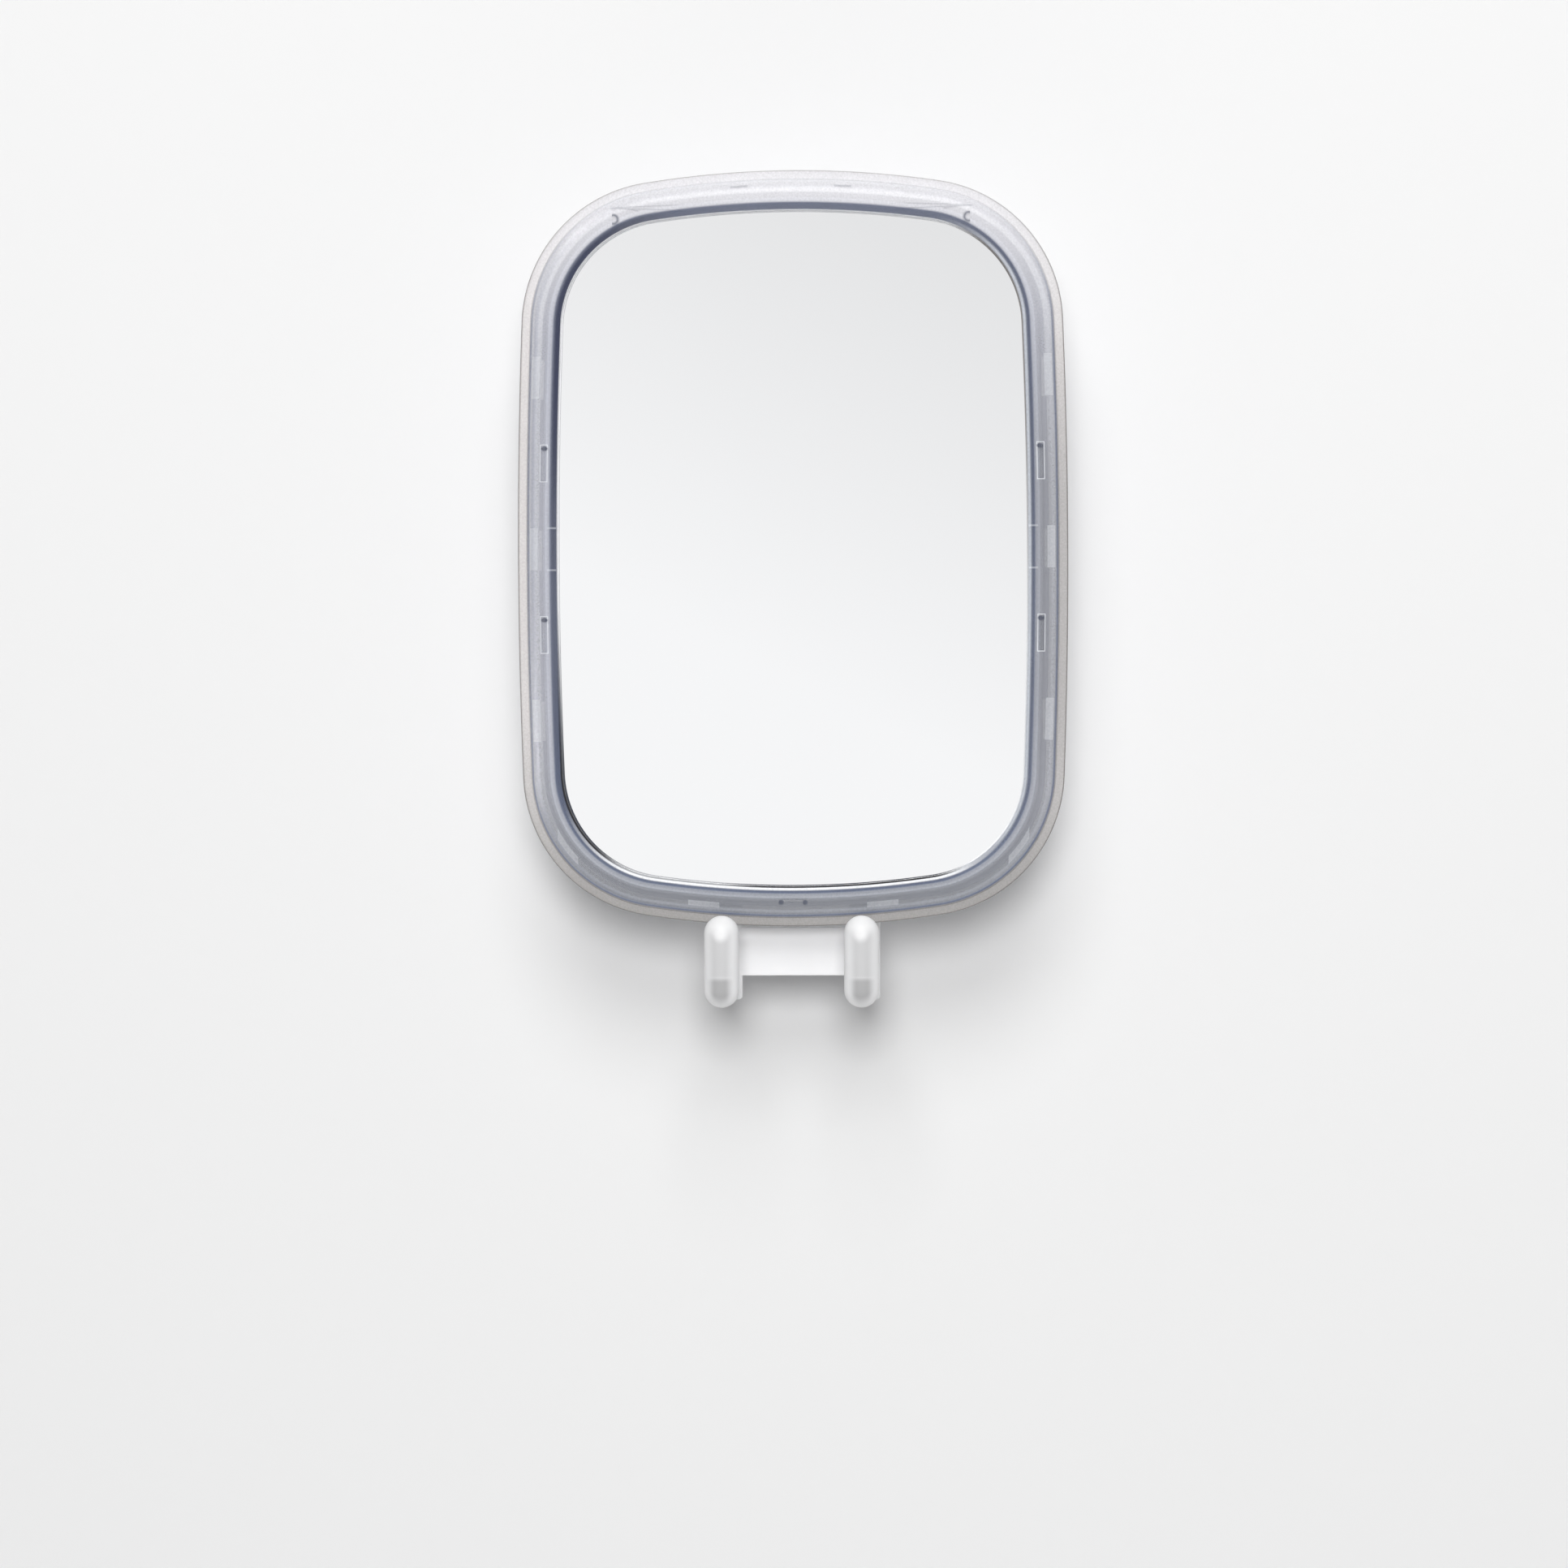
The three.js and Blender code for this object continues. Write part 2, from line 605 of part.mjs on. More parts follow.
// The tank's own shell, from the middle of its back round the rim to the middle of its floor
function tankShell() {
  const wallAtBack = TANK_INSET + TANK_DRAFT;
  const backEdge = Array.from({ length: TANK_BACK_STEPS + 1 }, (_, k) => {
    const angle = ((k / TANK_BACK_STEPS) * Math.PI) / 2;
    return [
      wallAtBack + TANK_BACK_RADIUS * (1 - Math.sin(angle)),
      tankBack + TANK_BACK_RADIUS * (1 - Math.cos(angle)),
    ];
  });
  const curbFront = frameInside - FIT_GAP;
  return stackSolid([
    ...backEdge,
    [TANK_INSET, rimBack],
    [rimInset, rimBack],
    [rimInset, tankRim],
    [curbInset - CURB_WIDTH, tankRim],
    [curbInset - CURB_WIDTH, curbFront],
    [curbInset, curbFront],
    [curbInset, tankRim],
    [TANK_INSET + TANK_WALL, tankRim],
    [wallAtBack + TANK_WALL, tankBack + TANK_BACK_RADIUS],
    [wallAtBack + TANK_BACK_RADIUS, tankBack + TANK_WALL],
  ]);
}

// The mouth follows the tank's top wall, and so does the low collar round it
function mouthCollar() {
  const outside = TANK_INSET - MOUTH_COLLAR_HEIGHT;
  const inside = TANK_INSET + TANK_DRAFT + TANK_WALL / 2;
  const back = mouthBack - MOUTH_COLLAR_WALL;
  const front = mouthFront + MOUTH_COLLAR_WALL;
  const band = ringSolid([
    [outside, back],
    [outside, front],
    [inside, front],
    [inside, back],
  ]);
  const reach = MOUTH_HALF_WIDTH + MOUTH_COLLAR_WALL;
  const end = roundRect(-reach, reach, back, front, (front - back) / 2);
  return band.intersect(column(end, 0, FRAME_HALF_HEIGHT));
}

function mouthCut() {
  const end = (mouthFront - mouthBack) / 2;
  const hole = roundRect(-MOUTH_HALF_WIDTH, MOUTH_HALF_WIDTH, mouthBack, mouthFront, end);
  return column(hole, FRAME_HALF_HEIGHT / 2, FRAME_HALF_HEIGHT);
}

function holderPad(side) {
  const x = side * HOLDER_X;
  const half = HOLDER_TAB_HALF_WIDTH;
  const padTop = padFace + HOLDER_PAD_HEIGHT;
  const seatBack = holderFront - HOLDER_FOOT_LENGTH;
  const seat = box(x - half, x + half, seatBack, holderFront, padFace, padTop);
  const bossFoot = (padFace + padTop) / 2;
  const boss = rodZ(BOSS_RADIUS, x, holderScrewDepth, bossFoot, padFace + BOSS_LENGTH, ROUND_STEPS);
  return join(seat, boss);
}

function hookSlot(side, height) {
  const middle = side * (FRAME_HALF_WIDTH - sideBowAt(height) - HOOK_INSET);
  const half = (SIDE_HOOK_LENGTH + HOOK_SLOT_WIDTH - HOOK_THICKNESS) / 2;
  const across = HOOK_SLOT_WIDTH / 2;
  return box(middle - across, middle + across, rimBack - OVERRUN, frameFront, height - half, height + half);
}

function lowerHookSlot() {
  const middle = HOOK_INSET - FRAME_HALF_HEIGHT;
  const half = (LOWER_HOOK_LENGTH + HOOK_SLOT_WIDTH - HOOK_THICKNESS) / 2;
  const across = HOOK_SLOT_WIDTH / 2;
  return box(-half, half, rimBack - OVERRUN, frameFront, middle - across, middle + across);
}

function rimNotch(side, height) {
  const outer = side * FRAME_HALF_WIDTH;
  const inner = side * (FRAME_HALF_WIDTH - sideBowAt(height) - rimInset - NOTCH_WIDTH);
  const left = Math.min(outer, inner);
  const right = Math.max(outer, inner);
  const half = NOTCH_LENGTH / 2;
  return box(left, right, rimBack - OVERRUN, frameFront, height - half, height + half);
}

function backShell() {
  const bosses = socketScrewPlaces.map(([x, z]) =>
    rodY(BOSS_RADIUS, x, tankBack + TANK_WALL / 2, tankBack + BOSS_LENGTH, z, ROUND_STEPS),
  );
  const holes = socketScrewPlaces.map(([x, z]) =>
    rodY(screwHole, x, tankBack - OVERRUN, tankBack + BOSS_LENGTH - BOSS_FLOOR, z, HOLE_STEPS),
  );
  const sides = [-1, 1];
  const holderHoleTop = padFace + BOSS_LENGTH - BOSS_FLOOR;
  const holderHoles = sides.map((side) =>
    rodZ(screwHole, side * HOLDER_X, holderScrewDepth, padFace - OVERRUN, holderHoleTop, HOLE_STEPS),
  );
  const whole = join(tankShell(), mouthCollar(), ...sides.map(holderPad), ...bosses);
  const open = cut(
    whole,
    mouthCut(),
    lowerHookSlot(),
    ...holes,
    ...holderHoles,
    ...sides.flatMap((side) => sideHookHeights.map((height) => hookSlot(side, height))),
    ...sides.flatMap((side) => notchHeights.map((height) => rimNotch(side, height))),
  );
  return mesh("back_shell", open, clearPlastic);
}

function hangerSocket() {
  const outside = roundRect(-socketHalfWidth, socketHalfWidth, socketBottom, socketTop, SOCKET_CORNER);
  const reach = socketHalfWidth + SOCKET_EAR;
  const ears = roundRect(-reach, reach, socketBottom, socketTop, SOCKET_CORNER);
  const channelHalf = TONGUE_HALF_WIDTH + RUN_GAP;
  const mouthHalf = NECK_HALF_WIDTH + RUN_GAP;
  const lipFront = socketBack + SOCKET_LIP_THICKNESS;
  const channel = polygon([
    [-mouthHalf, socketBack - OVERRUN],
    [mouthHalf, socketBack - OVERRUN],
    [mouthHalf, lipFront],
    [channelHalf, lipFront],
    [channelHalf, socketFloor],
    [-channelHalf, socketFloor],
    [-channelHalf, lipFront],
    [-mouthHalf, lipFront],
  ]);
  const holes = socketScrewPlaces.map(([x, z]) =>
    rodY(screwHole, x, socketFloor - OVERRUN, socketFront + OVERRUN, z, HOLE_STEPS),
  );
  const body = join(plate(outside, socketBack, socketFront), plate(ears, socketFloor, socketFront));
  const open = column(channel, socketBottom - OVERRUN, socketTop - SOCKET_CAP);
  return mesh("hanger_socket", cut(body, open, ...holes), whitePlastic);
}

// A screw stands on the origin with its head's face at depth zero and its tip towards the wall
function screwMesh(name, sunk, length) {
  const shank = SCREW_SHANK_RADIUS;
  const head = SCREW_HEAD_RADIUS;
  const brim = SCREW_HEAD_HEIGHT / 6;
  const top = sunk
    ? [[head, 0], [head, -brim]]
    : [[head / 2, 0], [head, -SCREW_HEAD_HEIGHT / 2], [head, -SCREW_HEAD_HEIGHT]];
  const stem = [
    [shank, -SCREW_HEAD_HEIGHT],
    [shank, SCREW_TIP - length],
    [shank / 4, -length],
    [0, -length],
  ];
  const body = turned([[0, 0], ...top, ...stem], ROUND_STEPS);
  const half = CROSS_LENGTH / 2;
  const width = CROSS_WIDTH / 2;
  const recess = join(
    box(-half, half, -CROSS_DEPTH, OVERRUN, -width, width),
    box(-width, width, -CROSS_DEPTH, OVERRUN, -half, half),
  );
  return mesh(name, cut(body, recess), steel);
}

function socketScrew(index) {
  const [x, z] = socketScrewPlaces[index];
  const screw = screwMesh(`socket_screw_${index + 1}`, false, SOCKET_SCREW_LENGTH);
  screw.rotation.x = Math.PI;
  screw.position.set(x, SCREW_HEAD_HEIGHT + FIT_GAP - socketFloor, z);
  return screw;
}

// Razor holder: a plate behind the frame's lower edge, with two feet under the tank and two arms that
// run forward and turn up into fingers
const sleeveTop = SLEEVE_RISE - FRAME_HALF_HEIGHT;
const sleeveBottom = sleeveTop - SLEEVE_HEIGHT;
const fingerDepth = frameFront + SLEEVE_FRONT_GAP + SLEEVE_RADIUS;
const armBottom = sleeveBottom + SLEEVE_FLOOR;

// The arm and finger at one side, grown by a margin all round for the hollow of the sleeve
function armSolid(side, margin) {
  const front = fingerDepth + FINGER_THICKNESS / 2 + margin;
  const back = fingerDepth - FINGER_THICKNESS / 2 - margin;
  const bottom = armBottom - margin;
  const top = armBottom + ARM_HEIGHT + margin;
  const tip = sleeveTop - SLEEVE_CROWN + margin;
  const shape = new THREE.Shape();
  shape.moveTo(HOLDER_DEPTH, bottom);
  shape.lineTo(front - FINGER_BEND, bottom);
  shape.absarc(front - FINGER_BEND, bottom + FINGER_BEND, FINGER_BEND, -Math.PI / 2, 0);
  shape.lineTo(front, tip);
  shape.lineTo(back, tip);
  shape.lineTo(back, top + FINGER_INNER_BEND);
  const bend = FINGER_INNER_BEND;
  shape.absarc(back - bend, top + bend, bend, 0, -Math.PI / 2, true);
  shape.lineTo(HOLDER_DEPTH, top);
  const x = side * HOLDER_X;
  const half = ARM_HALF_WIDTH + margin;
  const face = roundRect(x - half, x + half, bottom, tip, half);
  return slab(shape, x - half, x + half).intersect(plate(face, HOLDER_DEPTH - OVERRUN, front + OVERRUN));
}

function razorHolder() {
  const reach = HOLDER_X + HOLDER_TAB_HALF_WIDTH;
  const top = -FRAME_HALF_HEIGHT - HOLDER_TOP_GAP;
  const bottom = top - HOLDER_PLATE_HEIGHT;
  const footTop = padFace - FIT_GAP;
  const footBottom = footTop - HOLDER_FOOT_THICKNESS;
  const footBack = holderFront - HOLDER_FOOT_LENGTH;
  const back = plate(roundRect(-reach, reach, bottom, top, HOLDER_CORNER), HOLDER_DEPTH, holderFront);
  const parts = [-1, 1].flatMap((side) => {
    const left = side * HOLDER_X - HOLDER_TAB_HALF_WIDTH;
    const right = side * HOLDER_X + HOLDER_TAB_HALF_WIDTH;
    const upright = plate(roundRect(left, right, armBottom, footTop, FIT_GAP), HOLDER_DEPTH, holderFront);
    const foot = box(left, right, footBack, holderFront, footBottom, footTop);
    const brace = polygon([
      [holderFront - OVERRUN, footTop - OVERRUN],
      [HOLDER_DEPTH - GUSSET_REACH, footTop - OVERRUN],
      [HOLDER_DEPTH - GUSSET_REACH, footBottom - GUSSET_THICKNESS],
      [holderFront - OVERRUN, footBottom - GUSSET_REACH],
    ]);
    const gussets = [
      slab(brace, left, left + GUSSET_THICKNESS),
      slab(brace, right - GUSSET_THICKNESS, right),
    ];
    return [upright, foot, ...gussets, armSolid(side, 0)];
  });
  const holes = [-1, 1].map((side) =>
    rodZ(screwHole, side * HOLDER_X, holderScrewDepth, footBottom - OVERRUN, footTop + OVERRUN, HOLE_STEPS),
  );
  return mesh("razor_holder", cut(join(back, ...parts), ...holes), whitePlastic);
}

function hookSleeve(name, side) {
  const length = SLEEVE_HEIGHT - 2 * SLEEVE_RADIUS;
  const capsule = new THREE.CapsuleGeometry(SLEEVE_RADIUS, length, SLEEVE_CAP_STEPS, SLEEVE_STEPS, 1);
  capsule.rotateX(Math.PI / 2);
  capsule.translate(side * HOLDER_X, -fingerDepth, (sleeveTop + sleeveBottom) / 2);
  return mesh(name, cut(solidFrom(capsule), armSolid(side, FIT_GAP)), softSleeve);
}

function holderScrew(name, side) {
  const screw = screwMesh(name, false, HOLDER_SCREW_LENGTH);
  const headSeat = padFace - 2 * FIT_GAP - HOLDER_FOOT_THICKNESS;
  screw.rotation.x = Math.PI / 2;
  screw.position.set(side * HOLDER_X, -holderScrewDepth, headSeat - SCREW_HEAD_HEIGHT);
  return screw;
}

// Mount: housing, hook plate, cup, post and lever
const plateScrewHeights = [-PLATE_SCREW_BOTTOM, -PLATE_SCREW_TOP];
const plateScrewPlaces = [-1, 1].flatMap((side) =>
  plateScrewHeights.map((z) => [side * PLATE_SCREW_X, z]),
);
const housingInside = HOUSING_FRONT - HOUSING_WALL;
const housingBack = CUP_LIP_THICKNESS + FIT_GAP;
const leverSlotHalf = FORK_HALF_WIDTH + LEVER_SIDE_GAP;
const leverSlotBottom = FORK_THROAT - LEVER_SIDE_GAP;

function housingDish() {
  const brow = HOUSING_RADIUS - HOUSING_DRAFT;
  const round = (radius, steps) =>
    Array.from({ length: steps + 1 }, (_, k) => {
      const angle = ((k / steps) * Math.PI) / 2;
      const middle = [brow - HOUSING_SHOULDER, HOUSING_FRONT - HOUSING_SHOULDER];
      return [middle[0] + radius * Math.sin(angle), middle[1] + radius * Math.cos(angle)];
    });
  return turned(
    [
      [0, HOUSING_FRONT],
      ...round(HOUSING_SHOULDER, HOUSING_SHOULDER_STEPS),
      [HOUSING_RADIUS, housingBack],
      [HOUSING_RADIUS - HOUSING_WALL, housingBack],
      ...round(HOUSING_SHOULDER - HOUSING_WALL, HOUSING_SHOULDER_STEPS).reverse(),
      [0, housingInside],
    ],
    TURNED_STEPS,
  );
}

function housingRib(degrees) {
  const half = RIB_THICKNESS / 2;
  const outer = HOUSING_RADIUS - HOUSING_WALL;
  const root = housingInside + HOUSING_WALL / 2;
  const rib = box(RIB_INNER_RADIUS, outer, housingInside - RIB_DEPTH, root, -half, half);
  return rib.rotate([0, -degrees, 0]);
}

function mountHousing() {
  const ears = [-1, 1].map((side) => {
    const near = side * leverSlotHalf;
    const far = side * (leverSlotHalf + EAR_THICKNESS);
    const lug = roundRect(
      POST_PIN_DEPTH - EAR_RADIUS,
      housingInside + HOUSING_WALL / 2,
      PIVOT_HEIGHT - EAR_RADIUS,
      PIVOT_HEIGHT + EAR_RADIUS,
      EAR_RADIUS,
    );
    const root = box(
      Math.min(near, far),
      Math.max(near, far),
      POST_PIN_DEPTH,
      housingInside + HOUSING_WALL / 2,
      PIVOT_HEIGHT - EAR_RADIUS,
      PIVOT_HEIGHT + EAR_RADIUS,
    );
    return join(slab(lug, Math.min(near, far), Math.max(near, far)), root);
  });
  const bossBack = HOUSING_FRONT - HOUSING_BOSS_LENGTH;
  const bossRoot = HOUSING_FRONT - HOUSING_WALL / 2;
  const above = HOUSING_FRONT + OVERRUN;
  const bosses = plateScrewPlaces.map(([x, z]) =>
    rodY(HOUSING_BOSS_RADIUS, x, bossBack, bossRoot, z, ROUND_STEPS),
  );
  const holes = plateScrewPlaces.map(([x, z]) =>
    rodY(screwHole, x, bossBack + BOSS_FLOOR, above, z, HOLE_STEPS),
  );
  const guide = rodY(POST_RADIUS + FIT_GAP, 0, housingInside - OVERRUN, above, 0, POST_STEPS);
  const slotBack = POST_PIN_DEPTH - FORK_THICKNESS / 2 - LEVER_SIDE_GAP;
  const slotTop = HOUSING_RADIUS + OVERRUN;
  const slot = box(-leverSlotHalf, leverSlotHalf, slotBack, above, leverSlotBottom, slotTop);
  const reach = leverSlotHalf + EAR_THICKNESS + OVERRUN;
  const pinHole = rodX(LEVER_PIN_RADIUS + FIT_GAP, -reach, reach, POST_PIN_DEPTH, PIVOT_HEIGHT, ROUND_STEPS);
  const whole = join(housingDish(), ...RIB_ANGLES.map(housingRib), ...bosses, ...ears);
  return mesh("mount_housing", cut(whole, guide, slot, pinHole, ...holes), whitePlastic);
}

function countersink(x, z) {
  const head = SCREW_HEAD_RADIUS + FIT_GAP;
  const brim = SCREW_HEAD_HEIGHT / 6 + FIT_GAP;
  const sink = turned(
    [
      [0, OVERRUN],
      [head, OVERRUN],
      [head, -brim],
      [screwHole, -SCREW_HEAD_HEIGHT],
      [screwHole, -PLATE_THICKNESS - OVERRUN],
      [0, -PLATE_THICKNESS - OVERRUN],
    ],
    ROUND_STEPS,
  );
  return sink.translate([x, -plateFront, z]);
}

function hookPlate() {
  const back = HOUSING_FRONT + FIT_GAP;
  const base = roundRect(-PLATE_HALF_WIDTH, PLATE_HALF_WIDTH, -PLATE_BOTTOM, PLATE_TOP, PLATE_CORNER);
  const low = -TONGUE_TOP - TONGUE_HEIGHT;
  const high = -TONGUE_TOP;
  const neck = roundRect(-NECK_HALF_WIDTH, NECK_HALF_WIDTH, low, high, TONGUE_CORNER);
  const tongue = polygon([
    [-TONGUE_HALF_WIDTH, low],
    [TONGUE_HALF_WIDTH, low],
    [TONGUE_HALF_WIDTH, high - TONGUE_HEIGHT / 4],
    [TONGUE_TOP_HALF_WIDTH, high],
    [-TONGUE_TOP_HALF_WIDTH, high],
    [-TONGUE_HALF_WIDTH, high - TONGUE_HEIGHT / 4],
  ]);
  const body = join(
    plate(base, back, plateFront),
    plate(neck, back + PLATE_THICKNESS / 2, tongueBack + TONGUE_THICKNESS / 2),
    plate(tongue, tongueBack, tongueFront),
  );
  return mesh("hook_plate", cut(body, ...plateScrewPlaces.map(([x, z]) => countersink(x, z))), whitePlastic);
}

function plateScrew(index) {
  const [x, z] = plateScrewPlaces[index];
  const screw = screwMesh(`plate_screw_${index + 1}`, true, PLATE_SCREW_LENGTH);
  screw.position.set(x, -plateFront, z);
  return screw;
}

const footBack = CUP_CENTRE_LIFT + CUP_FLOOR + FIT_GAP;
const footFront = footBack + POST_FOOT_THICKNESS;
const postFront = HOUSING_FRONT - 2 * FIT_GAP;

function suctionCup() {
  const pocket = POST_FOOT_RADIUS + FIT_GAP;
  const throat = POST_RADIUS + FIT_GAP;
  const cup = turned(
    [
      [0, footBack - FIT_GAP],
      [pocket, footBack - FIT_GAP],
      [pocket, footFront + FIT_GAP],
      [throat, footFront + FIT_GAP],
      [throat, CUP_BOSS_TOP],
      [CUP_BOSS_RADIUS - CUP_LIP_EDGE, CUP_BOSS_TOP],
      [CUP_BOSS_RADIUS, CUP_BOSS_TOP - CUP_LIP_EDGE],
      [CUP_BOSS_RADIUS + CUP_LIP_EDGE, CUP_CENTRE_LIFT + CUP_SKIN],
      [CUP_DOME_RADIUS, CUP_DOME_LIFT + CUP_SKIN],
      [CUP_LIP_INNER_RADIUS + CUP_SKIN, CUP_LIP_THICKNESS],
      [CUP_RADIUS - CUP_SKIN, CUP_LIP_THICKNESS],
      [CUP_RADIUS, CUP_LIP_EDGE + CUP_LIP_EDGE],
      [CUP_RADIUS, CUP_LIP_EDGE],
      [CUP_RADIUS - CUP_LIP_EDGE, 0],
      [CUP_LIP_INNER_RADIUS, 0],
      [CUP_LIP_INNER_RADIUS - CUP_SKIN, CUP_LIP_EDGE],
      [CUP_DOME_RADIUS, CUP_DOME_LIFT],
      [CUP_BOSS_RADIUS, CUP_CENTRE_LIFT],
      [0, CUP_CENTRE_LIFT],
    ],
    TURNED_STEPS,
  );
  const tab = roundRect(
    -TAB_HALF_WIDTH,
    TAB_HALF_WIDTH,
    -CUP_RADIUS - TAB_REACH,
    -CUP_RADIUS + TAB_OVERLAP,
    TAB_HALF_WIDTH,
  );
  return mesh("suction_cup", join(cup, plate(tab, TAB_LIFT, TAB_LIFT + TAB_THICKNESS)), clearRubber);
}

function cupPost() {
  const post = turned(
    [
      [0, postFront],
      [POST_RADIUS - FIT_GAP, postFront],
      [POST_RADIUS, postFront - FIT_GAP],
      [POST_RADIUS, footFront],
      [POST_FOOT_RADIUS, footFront],
      [POST_FOOT_RADIUS, footBack],
      [0, footBack],
    ],
    POST_STEPS,
  );
  const reach = POST_RADIUS + OVERRUN;
  const hole = rodX(POST_PIN_RADIUS + FIT_GAP, -reach, reach, POST_PIN_DEPTH, 0, HOLE_STEPS);
  return mesh("cup_post", cut(post, hole), whitePlastic);
}

function postPin() {
  const half = FORK_HALF_WIDTH - FIT_GAP;
  return mesh("post_pin", rodX(POST_PIN_RADIUS, -half, half, POST_PIN_DEPTH, 0, ROUND_STEPS), steel);
}

function leverPin() {
  const half = leverSlotHalf + EAR_THICKNESS - FIT_GAP;
  const pin = rodX(LEVER_PIN_RADIUS, -half, half, POST_PIN_DEPTH, PIVOT_HEIGHT, ROUND_STEPS);
  return mesh("lever_pin", pin, steel);
}

// The lever's section from the side: a forked end round the post's pin, a hub, a shank and a handle
// that is set back towards the wall
function leverSection() {
  const forkHalf = FORK_THICKNESS / 2;
  const shankHalf = SHANK_THICKNESS / 2;
  const handleMiddle = POST_PIN_DEPTH - HANDLE_SETBACK;
  const handleHalf = HANDLE_THICKNESS / 2;
  const shape = new THREE.Shape();
  shape.absarc(POST_PIN_DEPTH, forkHalf - FORK_END, forkHalf, Math.PI, 2 * Math.PI);
  shape.lineTo(POST_PIN_DEPTH + forkHalf, PIVOT_HEIGHT);
  shape.lineTo(POST_PIN_DEPTH + shankHalf, SHANK_BOTTOM);
  shape.lineTo(POST_PIN_DEPTH + shankHalf, SHANK_TOP);
  shape.bezierCurveTo(
    POST_PIN_DEPTH + shankHalf,
    (SHANK_TOP + HANDLE_WIDE) / 2,
    handleMiddle + handleHalf,
    (SHANK_TOP + HANDLE_WIDE) / 2,
    handleMiddle + handleHalf,
    HANDLE_WIDE,
  );
  shape.lineTo(handleMiddle + handleHalf, HANDLE_END);
  shape.lineTo(handleMiddle - handleHalf, HANDLE_END);
  shape.lineTo(handleMiddle - handleHalf, HANDLE_WIDE);
  shape.bezierCurveTo(
    handleMiddle - handleHalf,
    (SHANK_TOP + HANDLE_WIDE) / 2,
    POST_PIN_DEPTH - shankHalf,
    (SHANK_TOP + HANDLE_WIDE) / 2,
    POST_PIN_DEPTH - shankHalf,
    SHANK_TOP,
  );
  shape.lineTo(POST_PIN_DEPTH - shankHalf, SHANK_BOTTOM);
  shape.lineTo(POST_PIN_DEPTH - forkHalf, PIVOT_HEIGHT);
  return shape;
}

function leverSolid() {
  const reach = FORK_HALF_WIDTH + HANDLE_HALF_WIDTH;
  const side = join(
    slab(leverSection(), -reach, reach),
    rodX(HUB_RADIUS, -reach, reach, POST_PIN_DEPTH, PIVOT_HEIGHT, POST_STEPS),
  );
  const fork = roundRect(-FORK_HALF_WIDTH, FORK_HALF_WIDTH, -FORK_END - OVERRUN, SHANK_BOTTOM, OVERRUN);
  const shank = polygon([
    [-FORK_HALF_WIDTH, PIVOT_HEIGHT],
    [FORK_HALF_WIDTH, PIVOT_HEIGHT],
    [SHANK_HALF_WIDTH, SHANK_BOTTOM],
    [SHANK_HALF_WIDTH, SHANK_TOP],
    [HANDLE_HALF_WIDTH, HANDLE_WIDE],
    [HANDLE_HALF_WIDTH, HANDLE_END - HANDLE_CORNER],
    [-HANDLE_HALF_WIDTH, HANDLE_END - HANDLE_CORNER],
    [-HANDLE_HALF_WIDTH, HANDLE_WIDE],
    [-SHANK_HALF_WIDTH, SHANK_TOP],
    [-SHANK_HALF_WIDTH, SHANK_BOTTOM],
  ]);
  const handle = roundRect(
    -HANDLE_HALF_WIDTH,
    HANDLE_HALF_WIDTH,
    HANDLE_END - 2 * HANDLE_CORNER - OVERRUN,
    HANDLE_END,
    HANDLE_CORNER,
  );
  const face = join(...[fork, shank, handle].map((shape) => plate(shape, 0, HOUSING_FRONT)));
  const throatHalf = POST_RADIUS + RUN_GAP;
  const throat = box(-throatHalf, throatHalf, 0, HOUSING_FRONT, -FORK_END - 2 * OVERRUN, FORK_THROAT);
  const slotHalf = POST_PIN_RADIUS + FIT_GAP;
  const slotLong = slotHalf + FORK_SLOT_TRAVEL / 2;
  const pinSlot = slab(
    roundRect(POST_PIN_DEPTH - slotHalf, POST_PIN_DEPTH + slotHalf, -slotLong, slotLong, slotHalf),
    -reach,
    reach,
  );
  const pinHole = rodX(LEVER_PIN_RADIUS + FIT_GAP, -reach, reach, POST_PIN_DEPTH, PIVOT_HEIGHT, ROUND_STEPS);
  const handleFace = POST_PIN_DEPTH - HANDLE_SETBACK + HANDLE_THICKNESS / 2;
  const gripDepth = handleFace + GRIP_RADIUS - GRIP_BITE;
  const gripTop = HANDLE_END - HANDLE_CORNER + GRIP_PITCH / 2;
  const grooves = Array.from({ length: GRIP_GROOVES }, (_, k) =>
    rodX(GRIP_RADIUS, -reach, reach, gripDepth, gripTop - k * GRIP_PITCH, HOLE_STEPS),
  );
  return cut(side.intersect(face), throat, pinSlot, pinHole, ...grooves);
}

// The lever turns about its pin, so its group stands there
function leverGroup() {
  const group = new THREE.Group();
  group.position.set(0, -POST_PIN_DEPTH, PIVOT_HEIGHT);
  group.add(mesh("lever", leverSolid().translate([0, POST_PIN_DEPTH, -PIVOT_HEIGHT]), whitePlastic));
  return group;
}

function postGroup() {
  const group = new THREE.Group();
  group.add(cupPost(), postPin());
  return group;
}

function mountGroup() {
  const group = new THREE.Group();
  group.add(mountHousing(), hookPlate(), suctionCup(), leverPin());
  plateScrewPlaces.forEach((_, index) => group.add(plateScrew(index)));
  return group;
}

// Everything that lifts off the mount is laid out round the mirror's centre
function mirrorGroup() {
  const group = new THREE.Group();
  group.position.z = -MIRROR_DROP;
  group.add(frontFrame(), mirrorPane(), paneSeal(), tankGasket(), backShell(), hangerSocket());
  socketScrewPlaces.forEach((_, index) => group.add(socketScrew(index)));
  group.add(razorHolder(), hookSleeve("hook_sleeve_left", -1), hookSleeve("hook_sleeve_right", 1));
  group.add(holderScrew("holder_screw_left", -1), holderScrew("holder_screw_right", 1));
  return group;
}

const showerMirror = new THREE.Group();
showerMirror.add(mountGroup(), postGroup(), leverGroup(), mirrorGroup());

export default showerMirror;
